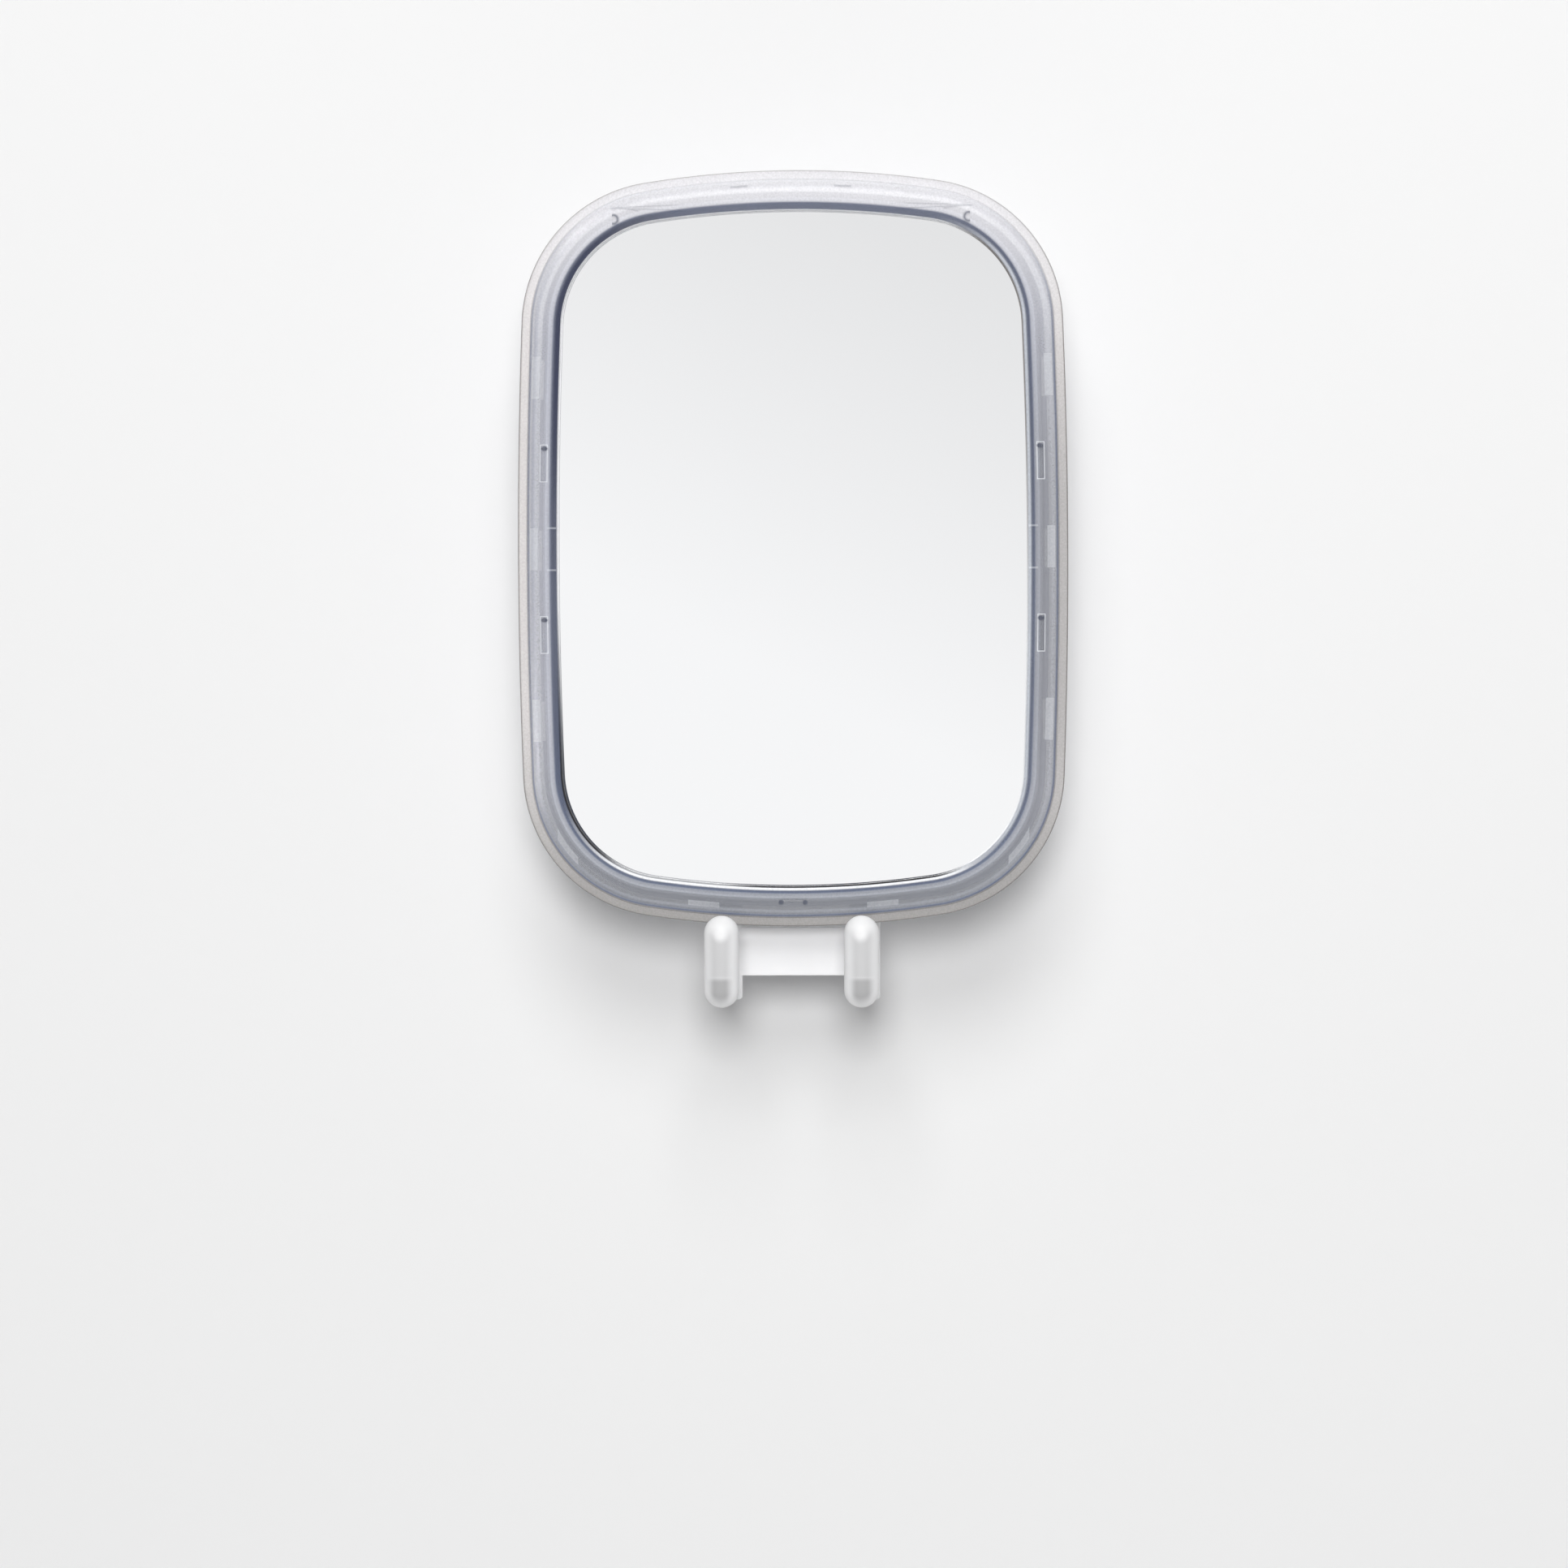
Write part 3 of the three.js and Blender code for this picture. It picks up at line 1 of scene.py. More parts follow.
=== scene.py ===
"""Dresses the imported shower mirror: a see-through frame over a water tank, two hooks and a suction mount.

Metres. +Z is up, the wall is the plane y = 0 and the mirror faces -Y. A depth is a distance from the wall.
"""

import math

import bpy
import numpy as np
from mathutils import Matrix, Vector


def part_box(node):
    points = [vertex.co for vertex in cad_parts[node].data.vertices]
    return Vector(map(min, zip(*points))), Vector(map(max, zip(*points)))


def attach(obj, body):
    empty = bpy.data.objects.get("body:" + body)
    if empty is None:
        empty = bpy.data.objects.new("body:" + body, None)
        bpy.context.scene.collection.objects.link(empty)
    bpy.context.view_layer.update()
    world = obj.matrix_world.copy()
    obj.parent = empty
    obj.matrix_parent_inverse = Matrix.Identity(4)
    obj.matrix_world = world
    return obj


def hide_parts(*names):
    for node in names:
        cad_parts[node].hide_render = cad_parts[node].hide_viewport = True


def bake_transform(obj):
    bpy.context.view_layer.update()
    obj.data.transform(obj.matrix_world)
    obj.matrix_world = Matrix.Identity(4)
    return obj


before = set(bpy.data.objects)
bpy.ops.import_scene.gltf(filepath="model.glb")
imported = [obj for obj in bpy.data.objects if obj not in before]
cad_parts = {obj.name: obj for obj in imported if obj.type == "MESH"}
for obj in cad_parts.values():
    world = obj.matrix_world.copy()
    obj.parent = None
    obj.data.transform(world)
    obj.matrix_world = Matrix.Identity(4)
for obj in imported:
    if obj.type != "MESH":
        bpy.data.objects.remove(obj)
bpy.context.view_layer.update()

bl_info = {
    "name": "Shower Mirror",
    "version": (1, 0, 0),
    "blender": (4, 5, 0),
    "location": "View3D > Sidebar > Mirror",
    "description": "Builds the visible pieces of a shower mirror round its packed model",
    "category": "Object",
}

MM = 0.001
frame_low, frame_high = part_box("front_frame")
sleeve_low, sleeve_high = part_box("hook_sleeve_right")
housing_low, housing_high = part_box("mount_housing")
cup_low, cup_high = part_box("suction_cup")
pane_low, pane_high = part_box("mirror_pane")
socket_low, socket_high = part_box("hanger_socket")
tank_back = -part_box("back_shell")[1].y
mirror_height = (frame_low.z + frame_high.z) / 2

# Steps of the smooth surfaces
SIDE_STEPS = 14
CORNER_STEPS = 30
TOP_STEPS = 16
ROUND_STEPS = 96
SMALL_STEPS = 40
EDGE_STEPS = 4

# Clearances and cuts
FIT_GAP = 0.3 * MM
OVERRUN = 1 * MM
CUT_EDGE = 0.01 * MM
SCREW_HOLE = 1.7 * MM
SCREW_HOLE_DEPTH = 6.6 * MM

# Frame section, from the outer edge to the window
BAND_WIDTH = 12.1 * MM
FLANGE_WIDTH = 2.7 * MM
FLANGE_THICKNESS = 1.6 * MM
FLANGE_STEP = 2.8 * MM
CROWN_WIDTH = 4.6 * MM
FRAME_WALL = 1.8 * MM
LIP_WIDTH = 2.8 * MM
LIP_THICKNESS = 2.6 * MM
LIP_EDGE = 1.2 * MM
SKIRT_THICKNESS = 1.2 * MM
SKIRT_LENGTH = 10 * MM
SNAP_PITCH = 25.7 * MM
SNAP_INSET = 8.4 * MM
SNAP_SLOT_WIDTH = 2.4 * MM
SNAP_SLOT_LENGTH = 11.2 * MM
LOWER_SLOT_LENGTH = 9 * MM
SNAP_THICKNESS = 1.2 * MM
SNAP_BARB = 1.1 * MM
SNAP_LENGTH = 10 * MM
LOWER_SNAP_LENGTH = 7.8 * MM

# Pane, seals and tank
PANE_INSET = 9.5 * MM
PANE_EDGE = 0.4 * MM
SEAL_SETBACK = 0.2 * MM
SEAL_SHOW = 0.25 * MM
GASKET_THICKNESS = 1.2 * MM
TANK_INSET = 10.3 * MM
TANK_WALL = 1.6 * MM
TANK_DRAFT = 0.7 * MM
TANK_BACK_RADIUS = 3.3 * MM
RIM_INSET = 5.8 * MM
RIM_THICKNESS = 2 * MM
CURB_INSET = 8.7 * MM
CURB_WIDTH = 1.4 * MM
MOUTH_HALF_WIDTH = 54 * MM
MOUTH_RADIUS = 20 * MM
COLLAR_HEIGHT = 2.6 * MM
COLLAR_WALL = 1.4 * MM
NOTCH_LENGTH = 12 * MM
NOTCH_WIDTH = 1.3 * MM
BOSS_RADIUS = 3.6 * MM
BOSS_LENGTH = 8 * MM

# Holder, whose feet are screwed under two pads on the tank
HOLDER_BACK = 40 * MM
FOOT_HALF_WIDTH = 4.6 * MM
FOOT_THICKNESS = 2.2 * MM
FOOT_REACH = 11 * MM
HOLDER_SCREW_DEPTH = 36 * MM
ARM_LIFT = 1.4 * MM
pad_face = frame_low.z + 9.9 * MM

# Mount and socket
PIVOT_HEIGHT = 12 * MM
PIN_DEPTH = 11.6 * MM
LEVER_PIN_HOLE = 2.3 * MM
NECK_HALF_WIDTH = 9 * MM
TONGUE_HALF_WIDTH = 14 * MM
TONGUE_GAP = 0.4 * MM
SOCKET_WALL = 2.8 * MM
SOCKET_SCREW_X = TONGUE_HALF_WIDTH + TONGUE_GAP + SOCKET_WALL + 4 * MM
socket_screw_heights = (socket_low.z + 5 * MM, socket_high.z - 5 * MM)

# Depths
frame_front = -frame_low.y
lip_back = frame_front - LIP_THICKNESS
frame_inside = frame_front - FRAME_WALL
flange_front = frame_front - FLANGE_STEP
flange_back = flange_front - FLANGE_THICKNESS
skirt_back = flange_back - SKIRT_LENGTH
pane_front = -pane_low.y
pane_back = -pane_high.y
seal_back = pane_front + FIT_GAP
seal_front = lip_back - FIT_GAP
tank_rim = pane_back - 2 * FIT_GAP - GASKET_THICKNESS
rim_back = tank_rim - RIM_THICKNESS


def field(name, text, default, unit="LENGTH"):
    """A float property with a name, a description and a unit."""
    return bpy.props.FloatProperty(name=name, description=text, default=default, unit=unit, precision=5)


def tint(name, text, default):
    """A colour property."""
    return bpy.props.FloatVectorProperty(
        name=name, description=text, default=default, subtype="COLOR", size=4, min=0.0, max=1.0
    )


class FrameSizes(bpy.types.PropertyGroup):
    """Sizes of the frame's outline."""

    half_width: field("Half width", "Half the frame's width", (frame_high.x - frame_low.x) / 2)
    half_height: field("Half height", "Half the frame's height", (frame_high.z - frame_low.z) / 2)
    side_bow: field("Side bow", "How far a side swells over half the height", 3.6 * MM)
    top_bow: field("Top bow", "How far the top swells over half the width", 12.0 * MM)
    corner_radius: field("Corner radius", "Radius of the frame's corners", 43.5 * MM)
    window_side_bow: field("Window side bow", "Swell of the window's sides", 3.1 * MM)
    window_top_bow: field("Window top bow", "Swell of the window's top", 8.6 * MM)
    window_corner_radius: field("Window corner radius", "Radius of the window's corners", 32.4 * MM)


class HolderSizes(bpy.types.PropertyGroup):
    """Sizes of the holder and its sleeves."""

    spacing: field("Hook place", "From the middle to a hook", (sleeve_low.x + sleeve_high.x) / 2)
    sleeve_radius: field("Sleeve radius", "Radius of a soft sleeve", (sleeve_high.x - sleeve_low.x) / 2)
    plate_thickness: field("Plate thickness", "Thickness of the holder's plate", 2.4 * MM)


class MountSizes(bpy.types.PropertyGroup):
    """Sizes of the suction mount."""

    housing_radius: field("Housing radius", "Radius of the housing", housing_high.x)
    housing_front: field("Housing depth", "From the wall to the housing's front", -housing_low.y)
    cup_radius: field("Cup radius", "Radius of the suction cup", cup_high.x)


class Finishes(bpy.types.PropertyGroup):
    """Colours of the materials."""

    clear_plastic: tint("Clear plastic", "Clear frame's own colour", (0.6, 0.615, 0.69, 1))
    deep_plastic: tint("Deep plastic", "Where one looks through much plastic", (0.13, 0.15, 0.22, 1))
    rim_plastic: tint("Rim", "Frame's thin outer rim", (0.74, 0.7, 0.69, 1))
    # Colour of the painted light at the frame's top
    piped_light: tint("Piped light", "Top of the frame, full of light", (0.9, 0.895, 0.93, 1))
    tank_plastic: tint("Tank plastic", "Cloudy plastic of the tank", (0.78, 0.78, 0.83, 1))
    silver: tint("Mirror", "Silvered pane", (0.94, 0.945, 0.95, 1))
    seal: tint("Seal", "Dark rubber seals", (0.035, 0.04, 0.06, 1))
    white_plastic: tint("White plastic", "Holder and mount", (0.88, 0.88, 0.89, 1))
    sleeve: tint("Sleeve", "Milky soft sleeves", (0.93, 0.93, 0.94, 1))
    cup: tint("Cup", "Clear rubber of the cup", (0.8, 0.83, 0.86, 1))
    steel: tint("Steel", "Screws and pins", (0.6, 0.61, 0.63, 1))
    wall: tint("Wall", "Backdrop and floor", (0.885, 0.885, 0.885, 1))


class StageSettings(bpy.types.PropertyGroup):
    """Camera and light."""

    distance: field("Camera distance", "From the frame's front to the camera", 1.6)
    view_width: field("View width", "Width that the camera sees at the frame's front", 0.4687)
    target_x: field("Target X", "Place that the camera looks at, to the right", -0.0026)
    target_z: field("Target Z", "Place that the camera looks at, upwards", -0.1006)
    turn: field("Turn", "How far the camera stands to the right", math.radians(3.0), "ROTATION")
    roll: field("Roll", "How far the camera leans", math.radians(0.2), "ROTATION")
    key_power: field("Key light", "Power of the large light above", 16.0, "POWER")
    front_power: field("Front light", "Power of the wide light round the camera", 33.0, "POWER")
    cup_power: field("Cup light", "Power of the narrow light on the cup, behind the wall", 85.0, "POWER")
    sky_strength: field("Sky strength", "Even light from all round", 0.2, "NONE")


# Meshes and objects


def shown(name, data):
    """A new object with this data, in the scene."""
    made = bpy.data.objects.new(name, data)
    bpy.context.scene.collection.objects.link(made)
    return made


def meshed(name, points, faces):
    """A new object with a mesh of points and faces."""
    mesh = bpy.data.meshes.new(name)
    mesh.from_pydata(points.tolist(), [], faces)
    mesh.update()
    return shown(name, mesh)


def dropped(piece):
    """Removes a piece and its mesh."""
    mesh = piece.data
    bpy.data.objects.remove(piece)
    bpy.data.meshes.remove(mesh)


def points_of(piece):
    """A piece's points, a row each."""
    co = np.empty(len(piece.data.vertices) * 3)
    piece.data.vertices.foreach_get("co", co)
    return co.reshape(-1, 3)


def placed(piece, turn, shift):
    """Turns and moves a mesh about the origin: turn is a 3 by 3 matrix, shift (x, y, z)."""
    points = points_of(piece) @ np.asarray(turn, float).T + np.asarray(shift, float)
    piece.data.vertices.foreach_set("co", points.ravel())
    piece.data.update()
    return piece


def merged(name, pieces):
    """One mesh that holds several, each closed by itself."""
    points, faces, start = [], [], 0
    for piece in pieces:
        mesh = piece.data
        points.append(points_of(piece))
        corners = np.empty(len(mesh.loops), np.int32)
        mesh.loops.foreach_get("vertex_index", corners)
        counts = np.empty(len(mesh.polygons), np.int32)
        mesh.polygons.foreach_get("loop_total", counts)
        faces += [face.tolist() for face in np.split(corners + start, np.cumsum(counts)[:-1])]
        start += len(mesh.vertices)
        dropped(piece)
    return meshed(name, np.concatenate(points), faces)


def carved(piece, join=(), cut=(), keep=()):
    """Joins closed shapes to a piece, then cuts others from it, then keeps only what lies inside others."""
    steps = [("UNION", tool) for tool in join]
    steps += [("DIFFERENCE", tool) for tool in cut]
    steps += [("INTERSECT", tool) for tool in keep]
    for operation, tool in steps:
        modifier = piece.modifiers.new(operation, "BOOLEAN")
        modifier.operation = operation
        modifier.solver = "EXACT"
        modifier.object = tool
    graph = bpy.context.evaluated_depsgraph_get()
    made = bpy.data.meshes.new_from_object(piece.evaluated_get(graph))
    piece.modifiers.clear()
    old = piece.data
    piece.data = made
    bpy.data.meshes.remove(old)
    for _, tool in steps:
        dropped(tool)
    return piece


def dressed(piece, material, node, body=None, sharp=32):
    """Shades a piece smooth but for its sharp edges, gives it its material, puts it under its body if it has
    one and hides the CAD part that it replaces.
    """
    piece.data.materials.clear()
    piece.data.materials.append(material)
    piece.data.polygons.foreach_set("use_smooth", np.ones(len(piece.data.polygons), bool))
    piece.data.set_sharp_from_angle(angle=math.radians(sharp))
    if body:
        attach(piece, body)
    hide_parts(node)


# Shapes as grids of points


def signed(a, b, c):
    """Six times the volume between the origin and the triangles a, b, c: the sum of a . (b x c)."""
    return (a * np.cross(b, c)).sum()


def surface(name, rows, loops=False):
    """A closed mesh from a grid of points, rows by columns by three, closed round its columns.

    Its last row is joined to its first where it loops, or else both end rows are closed by flat faces.
    Corner (r, c) is joined to its neighbours in the next column and row. Where the volume inside comes out
    negative, every face is turned.
    """
    count, columns = rows.shape[:2]
    points = rows.reshape(-1, 3)
    index = np.arange(count * columns).reshape(count, columns)
    upper = np.roll(index, -1, axis=0) if loops else index[1:]
    lower = index if loops else index[:-1]
    quads = np.stack([lower, np.roll(lower, -1, axis=1), np.roll(upper, -1, axis=1), upper], axis=-1)
    quads = quads.reshape(-1, 4)
    a, b, c, d = (points[quads[:, k]] for k in range(4))
    volume = signed(a, b, c) + signed(a, c, d)
    faces = quads.tolist()
    if not loops:
        for row in (index[0][::-1], index[-1]):
            corners = points[row]
            volume += signed(corners.mean(axis=0), corners, np.roll(corners, -1, axis=0))
            faces.append(row.tolist())
    if volume < 0:
        faces = [face[::-1] for face in faces]
    return meshed(name, points, faces)


def outline(inset, finer=1):
    """The frame's outline at each inset from its outer edge, as rows by columns of X and Z.

    A quarter is three arcs that meet smoothly: the side, the corner and the top. A long arc that bows by b
    over half a length h has the radius (h h + b b) / 2 b. The corner's middle lies where its distances to
    the other two middles are their radii less its own. Bows and corner change evenly with the inset.
    """
    sizes = bpy.context.scene.mirror_frame
    inset = np.atleast_1d(np.asarray(inset, float))[:, None]
    share = inset / BAND_WIDTH
    half_width = sizes.half_width - inset
    half_height = sizes.half_height - inset
    side_bow = sizes.side_bow + (sizes.window_side_bow - sizes.side_bow) * share
    top_bow = sizes.top_bow + (sizes.window_top_bow - sizes.top_bow) * share
    corner = sizes.corner_radius + (sizes.window_corner_radius - sizes.corner_radius) * share
    side_radius = (half_height**2 + side_bow**2) / (2 * side_bow)
    top_radius = (half_width**2 + top_bow**2) / (2 * top_bow)
    side_x = half_width - side_radius
    top_z = half_height - top_radius
    apart = np.hypot(side_x, top_z)
    from_side = side_radius - corner
    from_top = top_radius - corner
    along = (apart**2 + from_side**2 - from_top**2) / (2 * apart)
    across = np.sqrt(from_side**2 - along**2)
    line_x, line_z = -side_x / apart, top_z / apart
    corner_x = side_x + line_x * along - line_z * across
    corner_z = line_z * along + line_x * across
    low = np.arctan2(corner_z, corner_x - side_x)
    high = np.arctan2(corner_z - top_z, corner_x)

    def arc(x, z, radius, start, end, steps, closed=False):
        angle = start + (end - start) * np.linspace(0, 1, steps, endpoint=closed)[None, :]
        return np.stack([x + radius * np.cos(angle), z + radius * np.sin(angle)], axis=-1)

    nothing = np.zeros_like(low)
    side = arc(side_x, nothing, side_radius, nothing, low, SIDE_STEPS * finer)
    bend_round = arc(corner_x, corner_z, corner, low, high, CORNER_STEPS * finer)
    top = arc(nothing, top_z, top_radius, high, nothing + math.pi / 2, TOP_STEPS * finer, closed=True)
    quarter = np.concatenate([side, bend_round, top], axis=1)
    back = quarter[:, ::-1]
    quarters = (quarter, back * (-1, 1), quarter * (-1, -1), back * (1, -1))
    return np.concatenate([part[:, :-1] for part in quarters], axis=1)


def half_width_at(height):
    """Half the frame's width at a height from its middle, with the side's bow taken as a parabola."""
    sizes = bpy.context.scene.mirror_frame
    return sizes.half_width - sizes.side_bow * (height / sizes.half_height) ** 2


def carried(profile):
    """A profile carried round the outline, as a grid of points: each inset's outline at its depth."""
    profile = np.asarray(profile, float)
    flat = outline(profile[:, 0])
    depth = np.broadcast_to(-profile[:, 1, None], flat.shape[:2])
    return np.stack([flat[..., 0], depth, flat[..., 1] + mirror_height], axis=-1)


def bend(middle, radii, start, end, steps=EDGE_STEPS):
    """Part of an ellipse: middle + radii (cos a, sin a), with a from start to end in degrees."""
    angle = np.radians(np.linspace(start, end, steps + 1))
    return np.stack([middle[0] + radii[0] * np.cos(angle), middle[1] + radii[1] * np.sin(angle)], axis=-1)


def turned(name, profile, first=0.0, second=0.0, steps=ROUND_STEPS, axis="Y"):
    """A profile of radii and places turned about an axis: (radius cos a, place, radius sin a).

    Along Y the axis stands at X first and Z second, along Z at X and depth, and along X at depth and Z.
    """
    profile = np.asarray(profile, float)
    angle = np.linspace(0, 2 * math.pi, steps, endpoint=False)
    radius, place = profile[:, :1], np.repeat(profile[:, 1:], steps, axis=1)
    u, v = radius * np.cos(angle), radius * np.sin(angle)
    if axis == "Y":
        rows = np.stack([first + u, -place, second + v], axis=-1)
    elif axis == "Z":
        rows = np.stack([first + u, -second + v, place], axis=-1)
    else:
        rows = np.stack([place, -first + u, second + v], axis=-1)
    return surface(name, rows)


def rod(name, radius, low, high, first, second, axis="Y", steps=SMALL_STEPS, edge=0.0):
    """A round bar between two places along an axis, with its ends' edges rounded by a quarter circle."""
    ends = bend((radius - edge, edge), (edge, edge), -90, 0) if edge else np.array([(radius, 0.0)])
    profile = np.concatenate([ends + (0, low), ends[::-1] * (1, -1) + (0, high)])
    return turned(name, profile, first, second, steps, axis)


def round_rectangle(half_u, half_v, radius, steps=6):
    """Four quarter circles, one row for each half size.

    A point is (half u - r) times a sign + r cos a, and so for v, with each quarter's own signs.
    """
    half_u, half_v, radius = (np.atleast_1d(np.asarray(v, float))[:, None] for v in (half_u, half_v, radius))
    radius = np.minimum(radius, np.minimum(half_u, half_v) * 0.999)
    angle = np.concatenate([np.linspace(q, q + 90, steps + 1) for q in (0, 90, 180, 270)])
    cosine, sine = np.cos(np.radians(angle)), np.sin(np.radians(angle))
    side_u = np.repeat([1, -1, -1, 1], steps + 1)
    side_v = np.repeat([1, 1, -1, -1], steps + 1)
    return side_u * (half_u - radius) + radius * cosine, side_v * (half_v - radius) + radius * sine


def block(name, first, last, radius, edge=CUT_EDGE, axis="Y", steps=6):
    """A block between two corners (x, depth, z), with round corners seen along an axis and round edges.

    At edge (1 - cos a) from either end the outline is drawn in by edge (1 - sin a), for a up to 90 degrees.
    """
    low, high = np.minimum(first, last), np.maximum(first, last)
    middle, half = (low + high) / 2, (high - low) / 2
    u, v, w = {"X": (1, 2, 0), "Y": (0, 2, 1), "Z": (0, 1, 2)}[axis]
    angle = np.radians(np.linspace(0, 90, EDGE_STEPS + 1))
    inset = edge * (1 - np.sin(angle))
    level = half[w] - edge * (1 - np.cos(angle))
    insets = np.concatenate([inset, inset[::-1]])
    levels = np.concatenate([-level, level[::-1]])
    corner = np.maximum(radius - insets, 0.02 * MM)
    flat_u, flat_v = round_rectangle(half[u] - insets, half[v] - insets, corner, steps)
    rows = np.empty(flat_u.shape + (3,))
    rows[..., u] = middle[u] + flat_u
    rows[..., v] = middle[v] + flat_v
    rows[..., w] = (middle[w] + levels)[:, None]
    rows[..., 1] *= -1
    return surface(name, rows)


def loft(name, stations, corner):
    """Round rectangles carried up a path. A station is (x, depth, z, half x, half depth, tilt).

    A point (u, v) of a rectangle lies at x + u, at the depth plus v cos tilt and at z + v sin tilt.
    """
    x, depth, z, half_x, half_depth, tilt = (column[:, None] for column in stations.T)
    u, v = round_rectangle(half_x[:, 0], half_depth[:, 0], np.full(len(stations), corner))
    return surface(name, np.stack([x + u, -(depth + v * np.cos(tilt)), z + v * np.sin(tilt)], axis=-1))


# Shader nodes

SOCKET_KINDS = {"Vector": "NodeSocketVector", "Color": "NodeSocketColor", "Light": "NodeSocketColor"}


def put(socket, value):
    """Links a socket to a node's value, or sets a plain number or colour on it."""
    if isinstance(value, Value):
        value.tree.links.new(value.socket, socket)
    else:
        socket.default_value = value


def add(tree, kind, sockets, output=0, **settings):
    """A new node, with its settings and sockets filled. Gives the value of one output, or of all for None."""
    node = tree.nodes.new("ShaderNode" + kind)
    for name, setting in settings.items():
        setattr(node, name, setting)
    for name, value in sockets.items():
        put(node.inputs[name], value)
    if output is None:
        return [Value(tree, socket) for socket in node.outputs]
    return Value(tree, node.outputs[output])


def mix(share, first, second, blend="MIX"):
    """A colour between two, by a share."""
    sockets = {0: share, 6: first, 7: second}
    return add(share.tree, "Mix", sockets, 2, data_type="RGBA", blend_type=blend)


class Value:
    """What a node puts out. Arithmetic with it adds Math nodes to its tree."""

    def __init__(self, tree, socket):
        self.tree, self.socket = tree, socket

    def math(self, operation, *values):
        return add(self.tree, "Math", dict(enumerate(values)), operation=operation)

    def __add__(self, other):
        return self.math("ADD", self, other)

    def __sub__(self, other):
        return self.math("SUBTRACT", self, other)

    def __rsub__(self, other):
        return self.math("SUBTRACT", other, self)

    def __mul__(self, other):
        return self.math("MULTIPLY", self, other)

    def __pow__(self, power):
        return self.math("POWER", self, power)

    def __abs__(self):
        return self.math("ABSOLUTE", self)

    def __lt__(self, other):
        return self.math("LESS_THAN", self, other)

    def __gt__(self, other):
        return self.math("GREATER_THAN", self, other)

    def larger(self, other):
        return self.math("MAXIMUM", self, other)

    def smaller(self, other):
        return self.math("MINIMUM", self, other)

    def hypot(self, other):
        """The square root of the sum of the squares of this and another."""
        return self.math("SQRT", self**2.0 + other**2.0)

    def smooth(self, start, end):
        """0 at the start and 1 at the end, with a smooth curve between."""
        sockets = {"Value": self, "From Min": start, "From Max": end}
        return add(self.tree, "MapRange", sockets, interpolation_type="SMOOTHSTEP")

    def parts(self):
        """The X, Y and Z of a place."""
        return add(self.tree, "SeparateXYZ", {0: self}, None)

    def noise(self, scale, detail, roughness=0.5):
        """A noise read at this place."""
        sockets = {"Vector": self, "Scale": scale, "Detail": detail, "Roughness": roughness}
        return add(self.tree, "TexNoise", sockets, "Fac")

    def ramp(self, places, colours):
        """This value's colour on a ramp with one colour at each place."""
        node = self.tree.nodes.new("ShaderNodeValToRGB")
        put(node.inputs[0], self)
        elements = node.color_ramp.elements
        elements[0].position, elements[0].color = places[0], colours[0]
        elements[1].position, elements[1].color = places[-1], colours[-1]
        for place, colour in zip(places[1:-1], colours[1:-1]):
            elements.new(place).color = colour
        return Value(self.tree, node.outputs[0])


def effect(**inputs):
    """Turns a function that works out an effect into one that gives its shader group, built once.

    The function gets the group's inputs in order and gives its outputs by name.
    """

    def wrap(work_out):
        def group():
            name = work_out.__name__
            if name in bpy.data.node_groups:
                return bpy.data.node_groups[name]
            tree = bpy.data.node_groups.new(name, "ShaderNodeTree")

            def new_socket(socket, side):
                kind = SOCKET_KINDS.get(socket, "NodeSocketFloat")
                return tree.interface.new_socket(socket, in_out=side, socket_type=kind)

            for socket, default in inputs.items():
                made = new_socket(socket, "INPUT")
                if default is not None:
                    made.default_value = default
            start = tree.nodes.new("NodeGroupInput")
            outputs = work_out(*[Value(tree, start.outputs[socket]) for socket in inputs])
            for socket in outputs:
                new_socket(socket, "OUTPUT")
            end = tree.nodes.new("NodeGroupOutput")
            for socket, value in outputs.items():
                put(end.inputs[socket], value)
            return tree

        return group

    return wrap


def material(work_out):
    """Turns a function that works out a finish into one that gives its material, made once.

    The function gets a place on the piece and gives the shader's sockets by name.
    """

    def made():
        name = work_out.__name__
        if name in bpy.data.materials:
            return bpy.data.materials[name]
        new = bpy.data.materials.new(name)
        new.use_nodes = True
        tree = new.node_tree
        for socket, value in work_out(add(tree, "TexCoord", {}, "Object")).items():
            put(tree.nodes["Principled BSDF"].inputs[socket], value)
        return new

    return made


# Effects, each built as one shader group


@effect(Vector=None, Scale=900.0)
def moulded_grain(place, scale):
    """Fine grain of moulded plastic and rubber: two noises of unlike size, as a height."""
    return {"Height": place.noise(scale, 3) * 0.35 + place.noise(scale * 0.12, 2)}


@effect(Vector=None, Color=(1, 1, 1, 1), Scale=90.0, Amount=0.1)
def clouding(place, colour, scale, amount):
    """Soft clouds in plastic or rubber: a colour is lightened or darkened by a slow noise."""
    level = (place.noise(scale, 5, 0.6) - 0.5) * amount + 1.0
    return {"Color": add(place.tree, "VectorMath", {0: colour, "Scale": level}, operation="SCALE")}


@effect(Vector=None, Roughness=0.3, Amount=0.05)
def wiping(place, roughness, amount):
    """Faint marks of wiping: a noise drawn out along one direction, added to a roughness."""
    sockets = {"Vector": place, "Scale": (30, 30, 240), "Rotation": (0, 0.5, 0)}
    drawn = add(place.tree, "Mapping", sockets)
    return {"Roughness": drawn.noise(1.0, 4) * amount + roughness}


